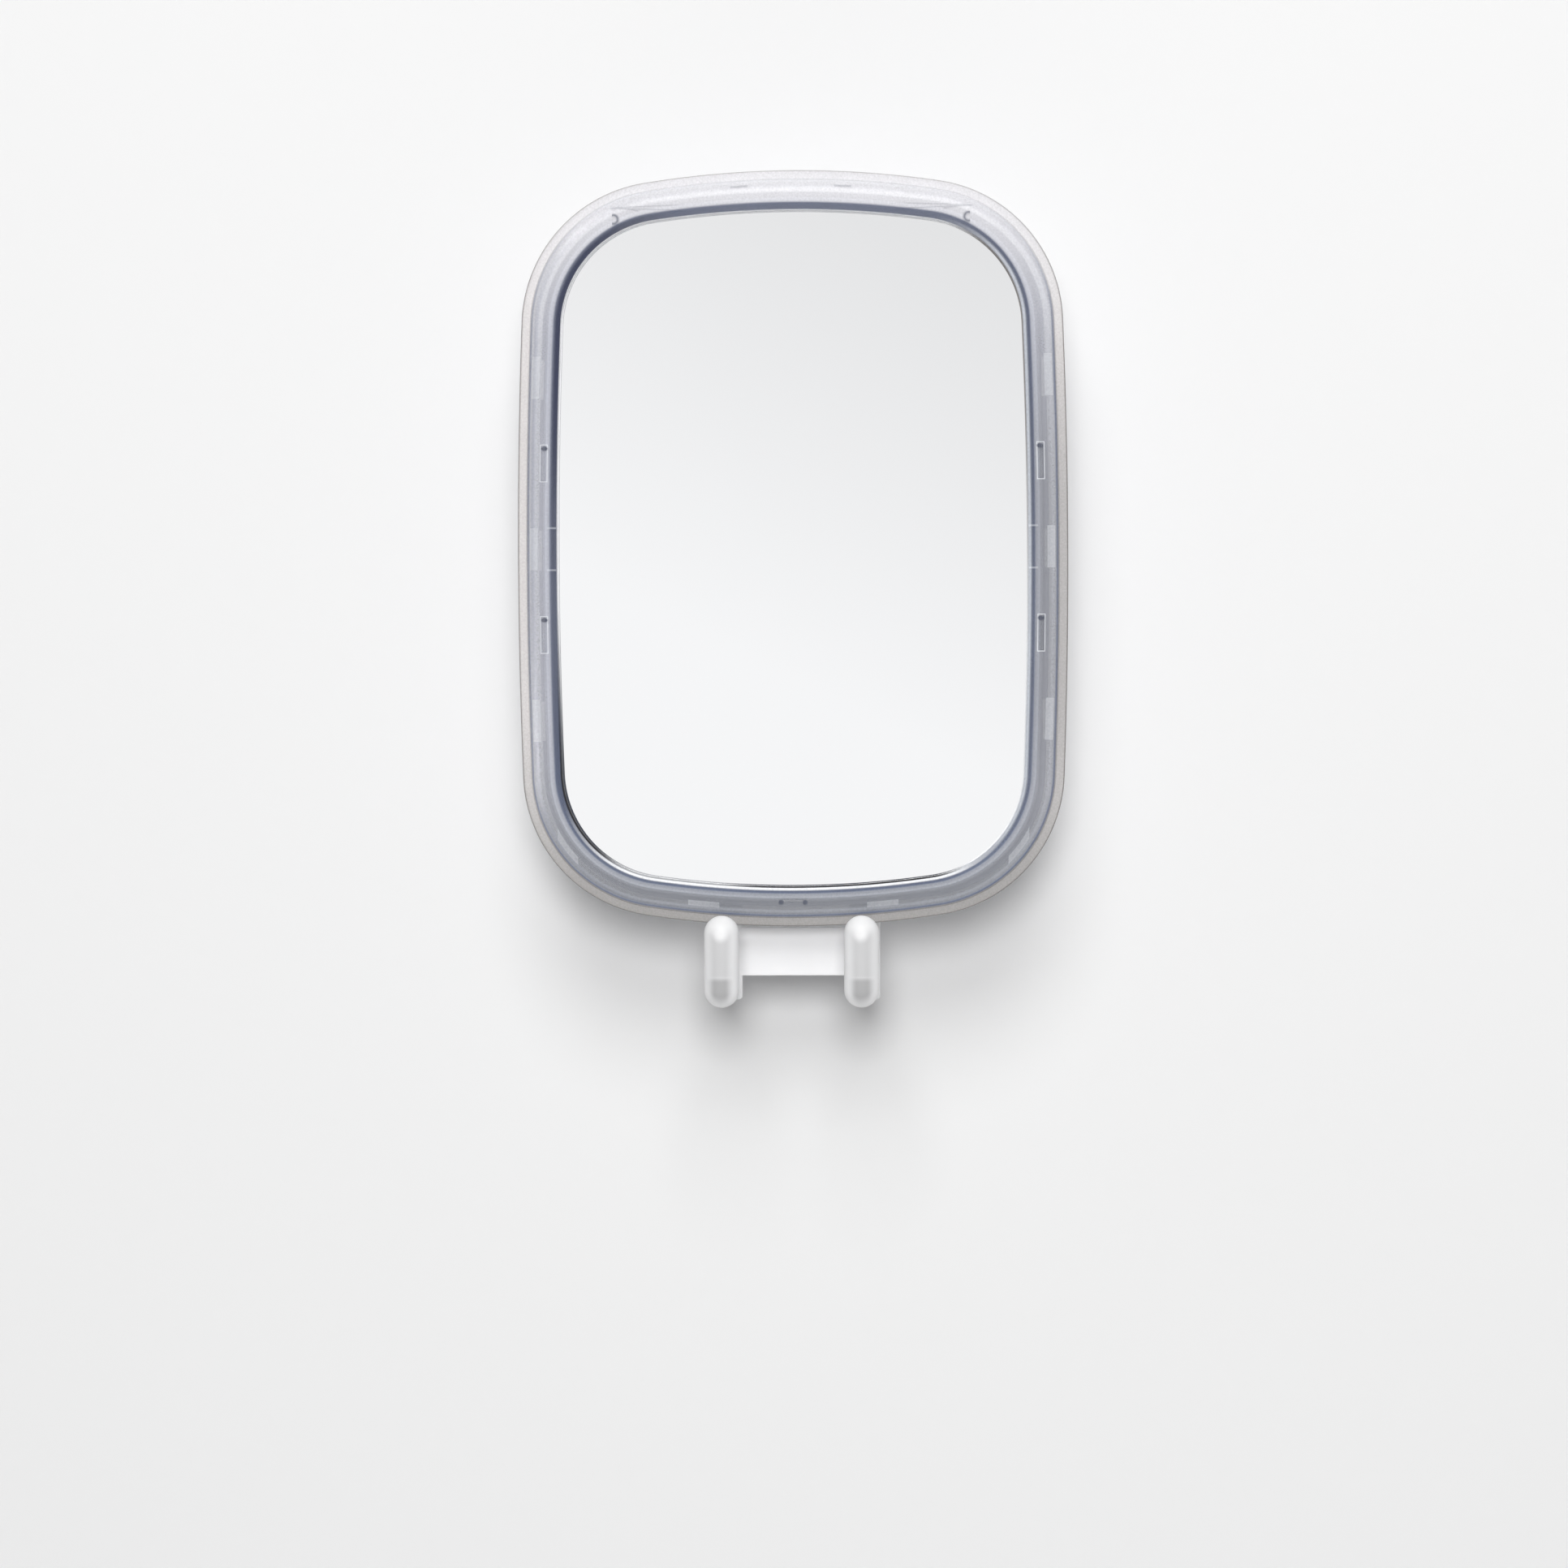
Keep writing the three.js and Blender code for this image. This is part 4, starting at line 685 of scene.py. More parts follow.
@effect(Vector=None, Color=(1, 1, 1, 1), Light=(1, 1, 1, 1), Cover=0.3, Share=1.0, Foot=0.5)
def piped_light(place, colour, light, cover, share, half_level):
    """Painted light and shade on the frame: painted light at its top, running down in it, and painted shade
    at its foot and on its right.

    The colour is scaled to twice the half level where the painted shade is full, at the foot, and part of the
    way there on the right, where the lower half is up to a fifth darker still. It goes to the painted light's
    colour by the share at the top.
    """
    across, _, height = place.parts()
    # Painted light at the top, and painted shade at the foot and on the right, with a faint tint in the shade
    lit = height.smooth(frame_high.z - 62 * MM, frame_high.z) * share
    foot = height.smooth(frame_low.z + 75 * MM, frame_low.z)
    low_down = height.smooth(mirror_height + 85 * MM, mirror_height + 5 * MM)
    right = across.smooth(-60 * MM, 80 * MM)
    shade = foot.larger(right * (low_down * 0.36 + 0.09))
    level = shade * (half_level * 2.0 - 1.0) + 1.0 - right * low_down * (1.0 - foot) * 0.2
    scaled = add(place.tree, "VectorMath", {0: colour, "Scale": level}, operation="SCALE")
    painted_shade_tint = mix(shade, scaled, (0.98, 1.0, 0.985, 1), "MULTIPLY")
    return {"Color": mix(lit, painted_shade_tint, light), "Cover": (lit * 0.3 + cover + shade * 0.08).smaller(1.0)}


def frame_places(place):
    """Millimetres to the right and up, from the frame's middle."""
    across, _, height = place.parts()
    return across * (1 / MM), (height - mirror_height) * (1 / MM)


def lip_masks(place):
    """Shares of the foot's painted highlight, the right side's painted sheen, the left's darker band and two
    dark lines.

    The black line, a painted reflection of the seal, runs from the left side's middle round the lower left
    corner and along the foot, a little fainter in between. The brown one, the seal's edge painted part lit,
    runs from the right side's middle round the upper right corner.
    """
    across, height = frame_places(place)
    foot_highlight = height.smooth(-74.0, -98.0) * across.smooth(68.0, 46.0)
    right = across.smooth(42.0, 64.0) * (1.0 - foot_highlight)
    left = across.smooth(-25.0, -64.0) * height.smooth(-60.0, 50.0)
    strong = across.smooth(-24.0, -8.0).larger(across.smooth(-50.0, -60.0))
    black = height.smooth(-10.0, -75.0) * across.smooth(54.0, 42.0) * (strong * 0.45 + 0.55)
    brown = height.smooth(-35.0, 60.0) * across.smooth(46.0, 60.0)
    return foot_highlight, right, left, black, brown


@effect(Vector=None, Band=0.5, Color=(1, 1, 1, 1), Cover=0.3)
def painted_lip_light(place, band, colour, cover):
    """The lip's round edge, with painted light on it: dark on the left and at the top, a painted sheen on the
    right and a painted highlight at the foot.

    Its end has a painted pale highlight but where the seal's line shows there: a painted black reflection of
    the seal at the foot, and brown at the upper right, the seal's edge painted part lit.
    """
    inset = band * (BAND_WIDTH / MM)
    foot_highlight, right, left, black, brown = lip_masks(place)
    painted_end_highlight = inset.smooth(11.75, 12.0) * (1.0 - black.larger(brown))
    # Layers: a darker band on the left, a painted sheen on the right, a painted highlight at the foot and at
    # the end, the seal's edge painted part lit, and a painted black reflection of the seal
    layers = (
        (left * (inset.smooth(9.7, 10.7) * 0.8), (0.03, 0.035, 0.075, 1)),
        (right * (inset.smooth(10.5, 11.35) * 0.9), (0.66, 0.69, 0.75, 1)),
        ((foot_highlight * inset.smooth(10.45, 10.95)).larger(painted_end_highlight), (0.93, 0.94, 0.97, 1)),
        (inset.smooth(11.8, 12.0) * (brown * 0.85), (0.22, 0.2, 0.19, 1)),
        (inset.smooth(11.4, 11.6) * black, (0.02, 0.02, 0.025, 1)),
    )
    for share, layer in layers:
        colour = mix(share, colour, layer)
        cover = cover.larger(share * 0.95)
    return {"Color": colour, "Cover": cover}


@effect(Vector=None, Band=0.5, Color=(1, 1, 1, 1), Cover=0.3)
def painted_inner_shading(place, band, colour, cover):
    """Painted light and shade of the parts seen through the frame: snap pockets, rim notches, ends of the
    mouth and the lower hook, pale where light shows and dark where they lie in shade.

    Millimetres. A patch is a rectangle, given by its middle and half size in a value and in the inset. Its
    mask is 1 where the larger of the two distances past its half sizes is below nothing. A line follows a
    distance. Both fade over a part of a millimetre.
    """
    inset = band * (BAND_WIDTH / MM)
    pitch = SNAP_PITCH / MM
    across, height = frame_places(place)
    across = abs(across)
    folded = abs(height)
    side, foot, crown = across > 60.0, height < -90.0, height > 80.0

    def off(value, middle, half):
        return abs(value - middle) - half

    def patch(value, middle, half, inset_middle, inset_half, fade=0.2):
        return off(value, middle, half).larger(off(inset, inset_middle, inset_half)).smooth(fade, 0.0)

    def line(distance, fade):
        return abs(distance).smooth(fade, 0.0)

    # A pocket's outline of painted light, a dark one of painted shade inside it and a slit of painted shade
    # in it
    pocket = off(folded, pitch, 5.4).larger(off(inset, 7.9, 0.95))
    outline_pale = line(pocket - 0.12, 0.24) * side
    outline_dark = line(pocket + 0.3, 0.22) * side
    slit = (off(height - 4.4, 0.0, pitch) * 1.3).hypot((inset - 8.05) * 0.8).smooth(1.05, 0.6) * side
    # Notches and nicks in the sides' rim, painted pale with the light that shows through them
    folds = height.math("PINGPONG", height, pitch)
    notch = patch(folds, 0.0, 6.2, 5.0, 1.1) * side * (folded < 70.0)
    nick = patch(folded, 6.3, 0.12, 10.4, 1.2, 0.3) * side
    # The lower hook's two ends in painted shade, and pale strips of painted light along the foot and its
    # corners
    dots = (across - 3.6).hypot(inset - 7.2).smooth(1.0, 0.5) * foot
    strips = patch(across, 26.8, 4.6, 5.6, 0.7) * foot
    strips = strips.larger(patch(across, 67.5, 3.0, 5.6, 0.7) * (height < -70.0))
    # Dashes of painted shade over the fill mouth, and a leaf, a half ring and a branch of painted shade at
    # its ends
    dashes = patch(across, 15.5, 2.4, 4.7, 0.2, 0.3) * crown
    leaf = line(off(height, 102.0, (56.0 - across) * 0.035), 0.3)
    leaf = leaf * across.smooth(30.0, 36.0) * across.smooth(55.0, 53.5) * crown
    ring = line((across - 53.2).hypot(height - 98.6) - 1.3, 0.8) * (across < 53.6) * crown
    branch = line(inset - ((52.0 - across) * 0.48 + 5.3), 0.45)
    branch = branch * across.smooth(45.0, 46.0) * (across < 52.0) * crown
    pale = (outline_pale + notch * 0.42 + strips * 0.36 + nick * 0.4).smaller(1.0)
    dark = outline_dark * 0.4 + slit * 0.9 + dots * 0.9
    dark = (dark + dashes * 0.4 + leaf.larger(branch) * 0.4 + ring * 0.8).smaller(1.0)
    colour = mix(dark, mix(pale, colour, (0.84, 0.86, 0.9, 1)), (0.1, 0.11, 0.15, 1))
    return {"Color": colour, "Cover": (cover + pale * 0.25 + dark * 0.35).smaller(1.0)}


# Materials


def finish(
    place, colour, roughness, metallic=0.0, grain=900.0, bump=2e-5, wipe=0.05, cloud=0.05, clouds=90.0
):
    """Shader sockets for a colour, plain or worked out, that is clouded, grained and wiped."""
    tree = place.tree
    cloudy = {"Vector": place, "Color": colour, "Scale": clouds, "Amount": cloud}
    wiped = {"Vector": place, "Roughness": roughness, "Amount": wipe}
    height = add(tree, "Group", {"Vector": place, "Scale": grain}, node_tree=moulded_grain())
    return {
        "Base Color": add(tree, "Group", cloudy, node_tree=clouding()),
        "Roughness": add(tree, "Group", wiped, node_tree=wiping()),
        "Metallic": metallic,
        "Normal": add(tree, "Bump", {"Height": height, "Distance": bump, "Strength": 0.6}),
    }


@material
def frame_plastic(place):
    """Clear plastic of the frame, whose tint and cover follow how much plastic lies under each band. On them
    go painted light at its top, painted shade at its foot and right, painted highlights and dark lines on its
    lip, and painted light and shade of the parts seen through it.
    """
    colours = bpy.context.scene.mirror_finishes
    tree = place.tree
    plain, deep = np.array(colours.clear_plastic), np.array(colours.deep_plastic)
    warm = np.array(colours.rim_plastic)
    pale = plain * 1.22
    # inset in millimetres, tint, cover of one face, share of the painted light from above, half the painted
    # shade's level at the foot
    stops = [
        (0.0, warm * 0.42, 0.85, 0.3, 0.4),
        (0.3, warm * 0.58, 0.7, 0.4, 0.4),
        (0.46, warm * 1.09, 0.42, 0.85, 0.31),
        (2.6, warm * 1.09, 0.42, 0.9, 0.31),
        (3.0, deep * 1.3, 0.62, 0.93, 0.72),
        (3.35, deep * 1.4, 0.6, 0.93, 0.72),
        (3.75, plain * 1.04, 0.4, 1.0, 0.38),
        (4.6, plain * 1.06, 0.38, 1.0, 0.4),
        (5.05, plain * 1.06, 0.38, 0.94, 0.3),
        (5.55, plain * 0.98, 0.37, 0.94, 0.26),
        (6.1, plain * 0.94, 0.36, 1.0, 0.3),
        (6.8, plain * 0.88, 0.36, 1.0, 0.33),
        (7.6, plain * 0.86, 0.36, 1.0, 0.32),
        (8.2, plain * 0.94, 0.38, 0.95, 0.34),
        (8.6, pale, 0.46, 0.85, 0.42),
        (9.4, pale * 0.97, 0.46, 0.75, 0.36),
        (10.0, deep * 1.15, 0.55, 0.02, 0.7),
        (10.8, deep, 0.56, 0.02, 0.7),
        (11.5, deep * 1.1, 0.56, 0.04, 0.6),
        (12.1, deep * 1.5, 0.5, 0.1, 0.5),
    ]
    places = [inset * MM / BAND_WIDTH for inset, *_ in stops]
    band = add(tree, "Attribute", {}, "Fac", attribute_name="band")
    tints = band.ramp(places, [tuple(np.clip(colour, 0, 1)) for _, colour, *_ in stops])
    amounts = band.ramp(places, [(cover, lit, foot, 1) for *_, cover, lit, foot in stops])
    cover, lit, foot = add(tree, "SeparateColor", {0: amounts}, None)
    sockets = {"Vector": place, "Color": tints, "Light": colours.piped_light}
    sockets |= {"Cover": cover, "Share": lit, "Foot": foot}
    colour, cover = add(tree, "Group", sockets, None, node_tree=piped_light())
    for layer in (painted_lip_light, painted_inner_shading):
        sockets = {"Vector": place, "Band": band, "Color": colour, "Cover": cover}
        colour, cover = add(tree, "Group", sockets, None, node_tree=layer())
    sockets = {"Vector": place, "Color": colour, "Scale": 1700.0, "Amount": 0.55}
    speckled = add(tree, "Group", sockets, node_tree=clouding())
    looks = finish(place, speckled, 0.2, grain=1400.0, bump=6e-6, wipe=0.02, cloud=0.08, clouds=150.0)
    return looks | {"Alpha": cover, "Specular IOR Level": 0.2, "Coat Weight": 0.08, "Coat Roughness": 0.12}


@material
def tank_plastic(place):
    """Cloudy plastic of the tank, a little see-through."""
    colour = bpy.context.scene.mirror_finishes.tank_plastic
    looks = finish(place, colour, 0.28, grain=1000.0, wipe=0.1, cloud=0.14, clouds=120.0)
    return looks | {"Alpha": 0.8, "Coat Weight": 0.3, "Coat Roughness": 0.1}


@material
def silvered_glass(place):
    """Silvered glass with the faintest wiping marks."""
    colour = bpy.context.scene.mirror_finishes.silver
    return finish(place, colour, 0.012, 1.0, grain=60.0, bump=0.0, wipe=0.02, cloud=0.008, clouds=30.0)


@material
def seal_rubber(place):
    """Dark rubber with a fine grain, painted pale by the light in the lip but for the two lines: black, its
    own dark, and brown, the seal's edge painted part lit.
    """
    *_, black, brown = lip_masks(place)
    # Painted light: pale where the lip lets light on the seal, brownish grey where it is part lit
    lit = mix(brown, (0.95, 0.96, 0.98, 1), (0.34, 0.32, 0.31, 1))
    colour = mix(black, lit, bpy.context.scene.mirror_finishes.seal)
    return finish(place, colour, 0.5, grain=2600.0, wipe=0.1, cloud=0.16, clouds=1600.0)


@material
def satin_white(place):
    """White moulded plastic with a satin skin."""
    looks = finish(place, bpy.context.scene.mirror_finishes.white_plastic, 0.32, grain=1200.0, wipe=0.1)
    inner = {"Subsurface Weight": 0.15, "Subsurface Radius": (1.0, 0.95, 0.9), "Subsurface Scale": 0.001}
    return looks | inner


@material
def milky_sleeve(place):
    """Milky soft rubber that light sinks into. The arm inside is painted as a grey core of shade, and its tip
    as a pale spot of painted highlight.

    Millimetres from the sleeve's middle and from its lower end. The core's painted shade lies in the lower
    end, with a round foot, and the finger's painted shade, which is less dark, runs from it to the spot.
    """
    colour = bpy.context.scene.mirror_finishes.sleeve
    right, _, up = place.parts()
    across = (abs(right) - bpy.context.scene.mirror_holder.spacing) * (1 / MM)
    height = (up - sleeve_low.z) * (1 / MM)
    tall = (sleeve_high.z - sleeve_low.z) / MM
    wide = abs(across - 0.25).smooth(4.6, 1.4)
    round_foot = (height + abs(across) ** 2.0 * -0.16).smooth(0.0, 3.6)
    core = wide * (round_foot * height.smooth(10.5, 7.5))
    finger = wide * (height.smooth(6.0, 10.0) * height.smooth(tall - 3.0, tall - 6.5))
    spot = across.hypot(height - (tall - 5.2)).smooth(3.4, 0.6)
    # Painted shade of the core and the finger, and the painted highlight of the spot
    level = 1.0 - (core * 0.5).larger(finger * 0.3)
    level = level + spot * (1.06 - level)
    shaded = add(place.tree, "VectorMath", {0: tuple(colour)[:3], "Scale": level}, operation="SCALE")
    looks = finish(place, shaded, 0.42, grain=1500.0, wipe=0.06, cloud=0.06)
    looks |= {"Subsurface Weight": 0.35, "Subsurface Radius": (1.0, 0.97, 0.95), "Subsurface Scale": 0.0015}
    return looks | {"Alpha": 0.94}


@material
def cup_rubber(place):
    """Clear flexible rubber."""
    looks = finish(place, bpy.context.scene.mirror_finishes.cup, 0.18, grain=700.0, wipe=0.1, cloud=0.12)
    return looks | {"Alpha": 0.72, "Coat Weight": 0.4}


@material
def bright_steel(place):
    """Plain bright steel with fine turning marks."""
    colour = bpy.context.scene.mirror_finishes.steel
    return finish(place, colour, 0.24, 1.0, grain=3000.0, wipe=0.12, cloud=0.1, clouds=400.0)


# Frame, pane and seals


def write_bands(piece, known):
    """Writes on each point how far it lies from the frame's outer edge, as a share of the band.

    The share is found by comparing the point's distance from the middle with the distances, on the same
    bearing, of the outer edge and of the window. The first points' shares are known.
    """
    x, _, z = points_of(piece).T
    z = z - mirror_height
    bearing = np.arctan2(z, x)
    limits = []
    for edge in outline([0.0, BAND_WIDTH], 12):
        angle = np.arctan2(edge[:, 1], edge[:, 0])
        order = np.argsort(angle)
        reach = np.hypot(edge[:, 0], edge[:, 1])[order]
        limits.append(np.interp(bearing, angle[order], reach, period=2 * math.pi))
    share = (limits[0] - np.hypot(x, z)) / (limits[0] - limits[1])
    share[: len(known)] = known
    share = np.clip(share, 0, 1).astype(np.float32)
    piece.data.attributes.new("band", "FLOAT", "POINT").data.foreach_set("value", share)


def snap_places():
    """The side of the frame, the height and half the frame's width there for the four side hooks."""
    edge_x = half_width_at(SNAP_PITCH)
    return [(side, height, edge_x) for side in (-1, 1) for height in (-SNAP_PITCH, SNAP_PITCH)]


def frame_section():
    """The frame's closed section, as insets and depths: rim, shoulder, flat front, round lip and skirt."""
    root = 0.25 * MM
    edge = 0.35 * MM
    crown_inset = FLANGE_WIDTH + CROWN_WIDTH
    lip_inset = BAND_WIDTH - LIP_WIDTH
    crown = bend((crown_inset, flange_front), (CROWN_WIDTH, FLANGE_STEP), 180, 90, 12)
    inner_radii = (CROWN_WIDTH - SKIRT_THICKNESS, frame_inside - flange_front)
    return [
        *bend((edge, flange_back + edge), (edge, edge), 270, 180),
        *bend((edge, flange_front - edge), (edge, edge), 180, 90),
        (FLANGE_WIDTH - root, flange_front),
        *crown[crown[:, 1] > flange_front + root],
        (crown_inset + 0.8 * MM, frame_front),
        *bend((BAND_WIDTH - LIP_EDGE, frame_front - LIP_EDGE), (LIP_EDGE, LIP_EDGE), 90, 0, 8),
        (BAND_WIDTH, lip_back + root),
        (BAND_WIDTH - root, lip_back),
        (lip_inset, lip_back),
        (lip_inset, frame_inside),
        (crown_inset, frame_inside),
        *bend((crown_inset, flange_front), inner_radii, 90, 180, 6),
        (FLANGE_WIDTH + SKIRT_THICKNESS, skirt_back),
        (FLANGE_WIDTH, skirt_back),
        (FLANGE_WIDTH, flange_back),
    ]


def snap_hooks():
    """Four side hooks, each a tongue and a barb behind the tank's rim, and a plain one at the foot."""
    radius, edge = 0.3 * MM, 0.15 * MM
    catch = rim_back - FIT_GAP
    inner = PANE_INSET - 0.4 * MM
    outer = inner - SNAP_THICKNESS
    tongue = (outer, catch - SNAP_BARB, frame_inside + 0.2 * MM)
    barb = (outer - SNAP_BARB, catch - 2 * SNAP_BARB, catch)
    hooks = []
    for side, height, edge_x in snap_places():
        low, high = (mirror_height + height + end * SNAP_LENGTH / 2 for end in (-1, 1))
        for inset, back, front in (tongue, barb):
            first, last = side * (edge_x - inset), side * (edge_x - inner)
            hooks.append(block("hook", (first, back, low), (last, front, high), radius, edge))
    half = LOWER_SNAP_LENGTH / 2
    low, high = frame_low.z + outer, frame_low.z + inner
    hooks.append(block("hook", (-half, catch - SNAP_BARB, low), (half, frame_inside, high), radius, edge))
    return hooks


class MIRROR_OT_front_frame(bpy.types.Operator):
    """The see-through frame: one closed section carried round the outline, with five snap hooks inside"""

    bl_idname = "shower_mirror.front_frame"
    bl_label = "Front frame"

    def execute(self, context):
        section = np.array(frame_section())
        rows = carried(section)
        ring = surface("ring", rows, loops=True)
        piece = merged("clear_frame", [ring, *snap_hooks()])
        write_bands(piece, np.repeat(section[:, 0] / BAND_WIDTH, rows.shape[1]))
        dressed(piece, frame_plastic(), "front_frame", "mirror")
        return {"FINISHED"}


class MIRROR_OT_pane(bpy.types.Operator):
    """The mirror pane: a flat plate inside the outline, with a ground edge"""

    bl_idname = "shower_mirror.pane"
    bl_label = "Mirror pane"

    def execute(self, context):
        levels = [
            (PANE_INSET + PANE_EDGE, pane_back),
            (PANE_INSET, pane_back + PANE_EDGE),
            (PANE_INSET, pane_front - PANE_EDGE),
            (PANE_INSET + PANE_EDGE, pane_front),
        ]
        piece = surface("silvered_pane", carried(levels))
        dressed(piece, silvered_glass(), "mirror_pane", "mirror", sharp=20)
        return {"FINISHED"}


class MIRROR_OT_seals(bpy.types.Operator):
    """The seal before the pane and the beaded gasket behind it"""

    bl_idname = "shower_mirror.seals"
    bl_label = "Seals"

    def execute(self, context):
        outer = PANE_INSET + SEAL_SETBACK
        inner = BAND_WIDTH + SEAL_SHOW
        edge = 0.2 * MM
        window = [
            (outer, seal_back),
            (outer, seal_front),
            *bend((inner - edge, seal_front - edge), (edge, edge), 90, 0),
            *bend((inner - edge, seal_back + edge), (edge, edge), 0, -90),
        ]
        front = surface("window_seal", carried(window), loops=True)
        dressed(front, seal_rubber(), "pane_seal", "mirror")

        gasket_back = tank_rim + FIT_GAP
        gasket_front = pane_back - FIT_GAP
        inner = TANK_INSET + TANK_WALL - SEAL_SETBACK
        base = gasket_back + (gasket_front - gasket_back) * 0.5
        bead = bend(((outer + inner) / 2, base), (0.55 * MM, gasket_front - base), 180, 0, 8)
        beaded = [(outer, gasket_back), (outer, base), *bead, (inner, base), (inner, gasket_back)]
        back = surface("tank_seal", carried(beaded), loops=True)
        dressed(back, seal_rubber(), "tank_gasket", "mirror")
        return {"FINISHED"}


# Tank and socket


def tank_section():
    """The tank's levels as insets and depths: out from its back, up the curb and in to its floor."""
    edge = 0.3 * MM
    middle = (TANK_INSET + TANK_DRAFT + TANK_BACK_RADIUS, tank_back + TANK_BACK_RADIUS)
    curb_front = frame_inside - FIT_GAP
    curb_outside = CURB_INSET - CURB_WIDTH
    return [
        *bend(middle, (TANK_BACK_RADIUS,) * 2, 270, 180, 8),
        (TANK_INSET, rim_back),
        (RIM_INSET + edge, rim_back),
        (RIM_INSET, rim_back + edge),
        (RIM_INSET, tank_rim - edge),
        (RIM_INSET + edge, tank_rim),
        (curb_outside, tank_rim),
        (curb_outside, curb_front - edge),
        (curb_outside + edge, curb_front),
        (CURB_INSET - edge, curb_front),
        (CURB_INSET, curb_front - edge),
        (CURB_INSET, tank_rim),
        (TANK_INSET + TANK_WALL, tank_rim),
        *bend(middle, (TANK_BACK_RADIUS - TANK_WALL,) * 2, 180, 270, 4),
    ]


def mouth_collar(mouth_low, mouth_high):
    """The collar round the fill mouth: a band carried round the tank, of which the top is kept."""
    edge = 0.4 * MM
    back, front = mouth_low - COLLAR_WALL, mouth_high + COLLAR_WALL
    outside = TANK_INSET - COLLAR_HEIGHT
    inside = TANK_INSET + TANK_DRAFT + TANK_WALL / 2
    section = [
        (outside + edge, back),
        (outside, back + edge),
        (outside, front - edge),
        (outside + edge, front),
        (inside, front),
        (inside, back),
    ]
    band = surface("collar", carried(section), loops=True)
    reach = MOUTH_HALF_WIDTH + COLLAR_WALL
    low, high = (-reach, back, mirror_height), (reach, front, frame_high.z)
    return carved(band, keep=[block("keep", low, high, MOUTH_RADIUS, axis="Z", steps=12)])


def rim_cuts():
    """Slots for the snap hooks, one for the lower hook and three notches a side, all through the rim."""
    back = rim_back - OVERRUN
    half = SNAP_SLOT_WIDTH / 2
    reach = SNAP_SLOT_LENGTH / 2
    corner = 0.7 * MM
    cuts = []
    for side, height, edge_x in snap_places():
        x, z = side * (edge_x - SNAP_INSET), mirror_height + height
        cuts.append(block("slot", (x - half, back, z - reach), (x + half, frame_front, z + reach), corner))
    reach = LOWER_SLOT_LENGTH / 2
    z = frame_low.z + SNAP_INSET
    cuts.append(block("slot", (-reach, back, z - half), (reach, frame_front, z + half), corner))
    reach = NOTCH_LENGTH / 2
    for side in (-1, 1):
        for height in (-2 * SNAP_PITCH, 0.0, 2 * SNAP_PITCH):
            outside = side * bpy.context.scene.mirror_frame.half_width
            inside = side * (half_width_at(height) - RIM_INSET - NOTCH_WIDTH)
            z = mirror_height + height
            low, high = (outside, back, z - reach), (inside, frame_front, z + reach)
            cuts.append(block("notch", low, high, 0.4 * MM))
    return cuts


class MIRROR_OT_tank(bpy.types.Operator):
    """The tank: levels of the outline from its back to its floor, with a mouth, pads, bosses and holes"""

    bl_idname = "shower_mirror.tank"
    bl_label = "Tank"

    def execute(self, context):
        holder = context.scene.mirror_holder
        piece = surface("tank_shell", carried(tank_section()))
        mouth_low = tank_back + 3.2 * MM
        mouth_high = rim_back - 4.6 * MM
        collar = mouth_collar(mouth_low, mouth_high)
        holder_front = HOLDER_BACK + holder.plate_thickness
        pad_top = pad_face + 2.4 * MM
        boss_top, hole_top = pad_face + BOSS_LENGTH, pad_face + SCREW_HOLE_DEPTH
        boss_front, hole_front = tank_back + BOSS_LENGTH, tank_back + SCREW_HOLE_DEPTH
        pads, bosses, holes = [], [], []
        for side in (-1, 1):
            x = side * holder.spacing
            low = (x - FOOT_HALF_WIDTH, holder_front - FOOT_REACH, pad_face)
            high = (x + FOOT_HALF_WIDTH, holder_front, pad_top)
            pads.append(block("pad", low, high, 0.6 * MM, 0.2 * MM, "Z"))
            bosses.append(rod("boss", BOSS_RADIUS, pad_face + 1.2 * MM, boss_top, x, HOLDER_SCREW_DEPTH, "Z"))
            holes.append(rod("hole", SCREW_HOLE, pad_face - OVERRUN, hole_top, x, HOLDER_SCREW_DEPTH, "Z"))
            for z in socket_screw_heights:
                x = side * SOCKET_SCREW_X
                bosses.append(rod("boss", BOSS_RADIUS, tank_back + 0.8 * MM, boss_front, x, z))
                holes.append(rod("hole", SCREW_HOLE, tank_back - OVERRUN, hole_front, x, z))
        holes += rim_cuts()
        low = (-MOUTH_HALF_WIDTH, mouth_low, mirror_height + 50 * MM)
        high = (MOUTH_HALF_WIDTH, mouth_high, frame_high.z)
        holes.append(block("mouth", low, high, MOUTH_RADIUS, axis="Z", steps=12))
        joined = [collar, merged("pads", pads), merged("bosses", bosses)]
        carved(piece, join=joined, cut=[merged("holes", holes)])
        dressed(piece, tank_plastic(), "back_shell", "mirror")
        return {"FINISHED"}


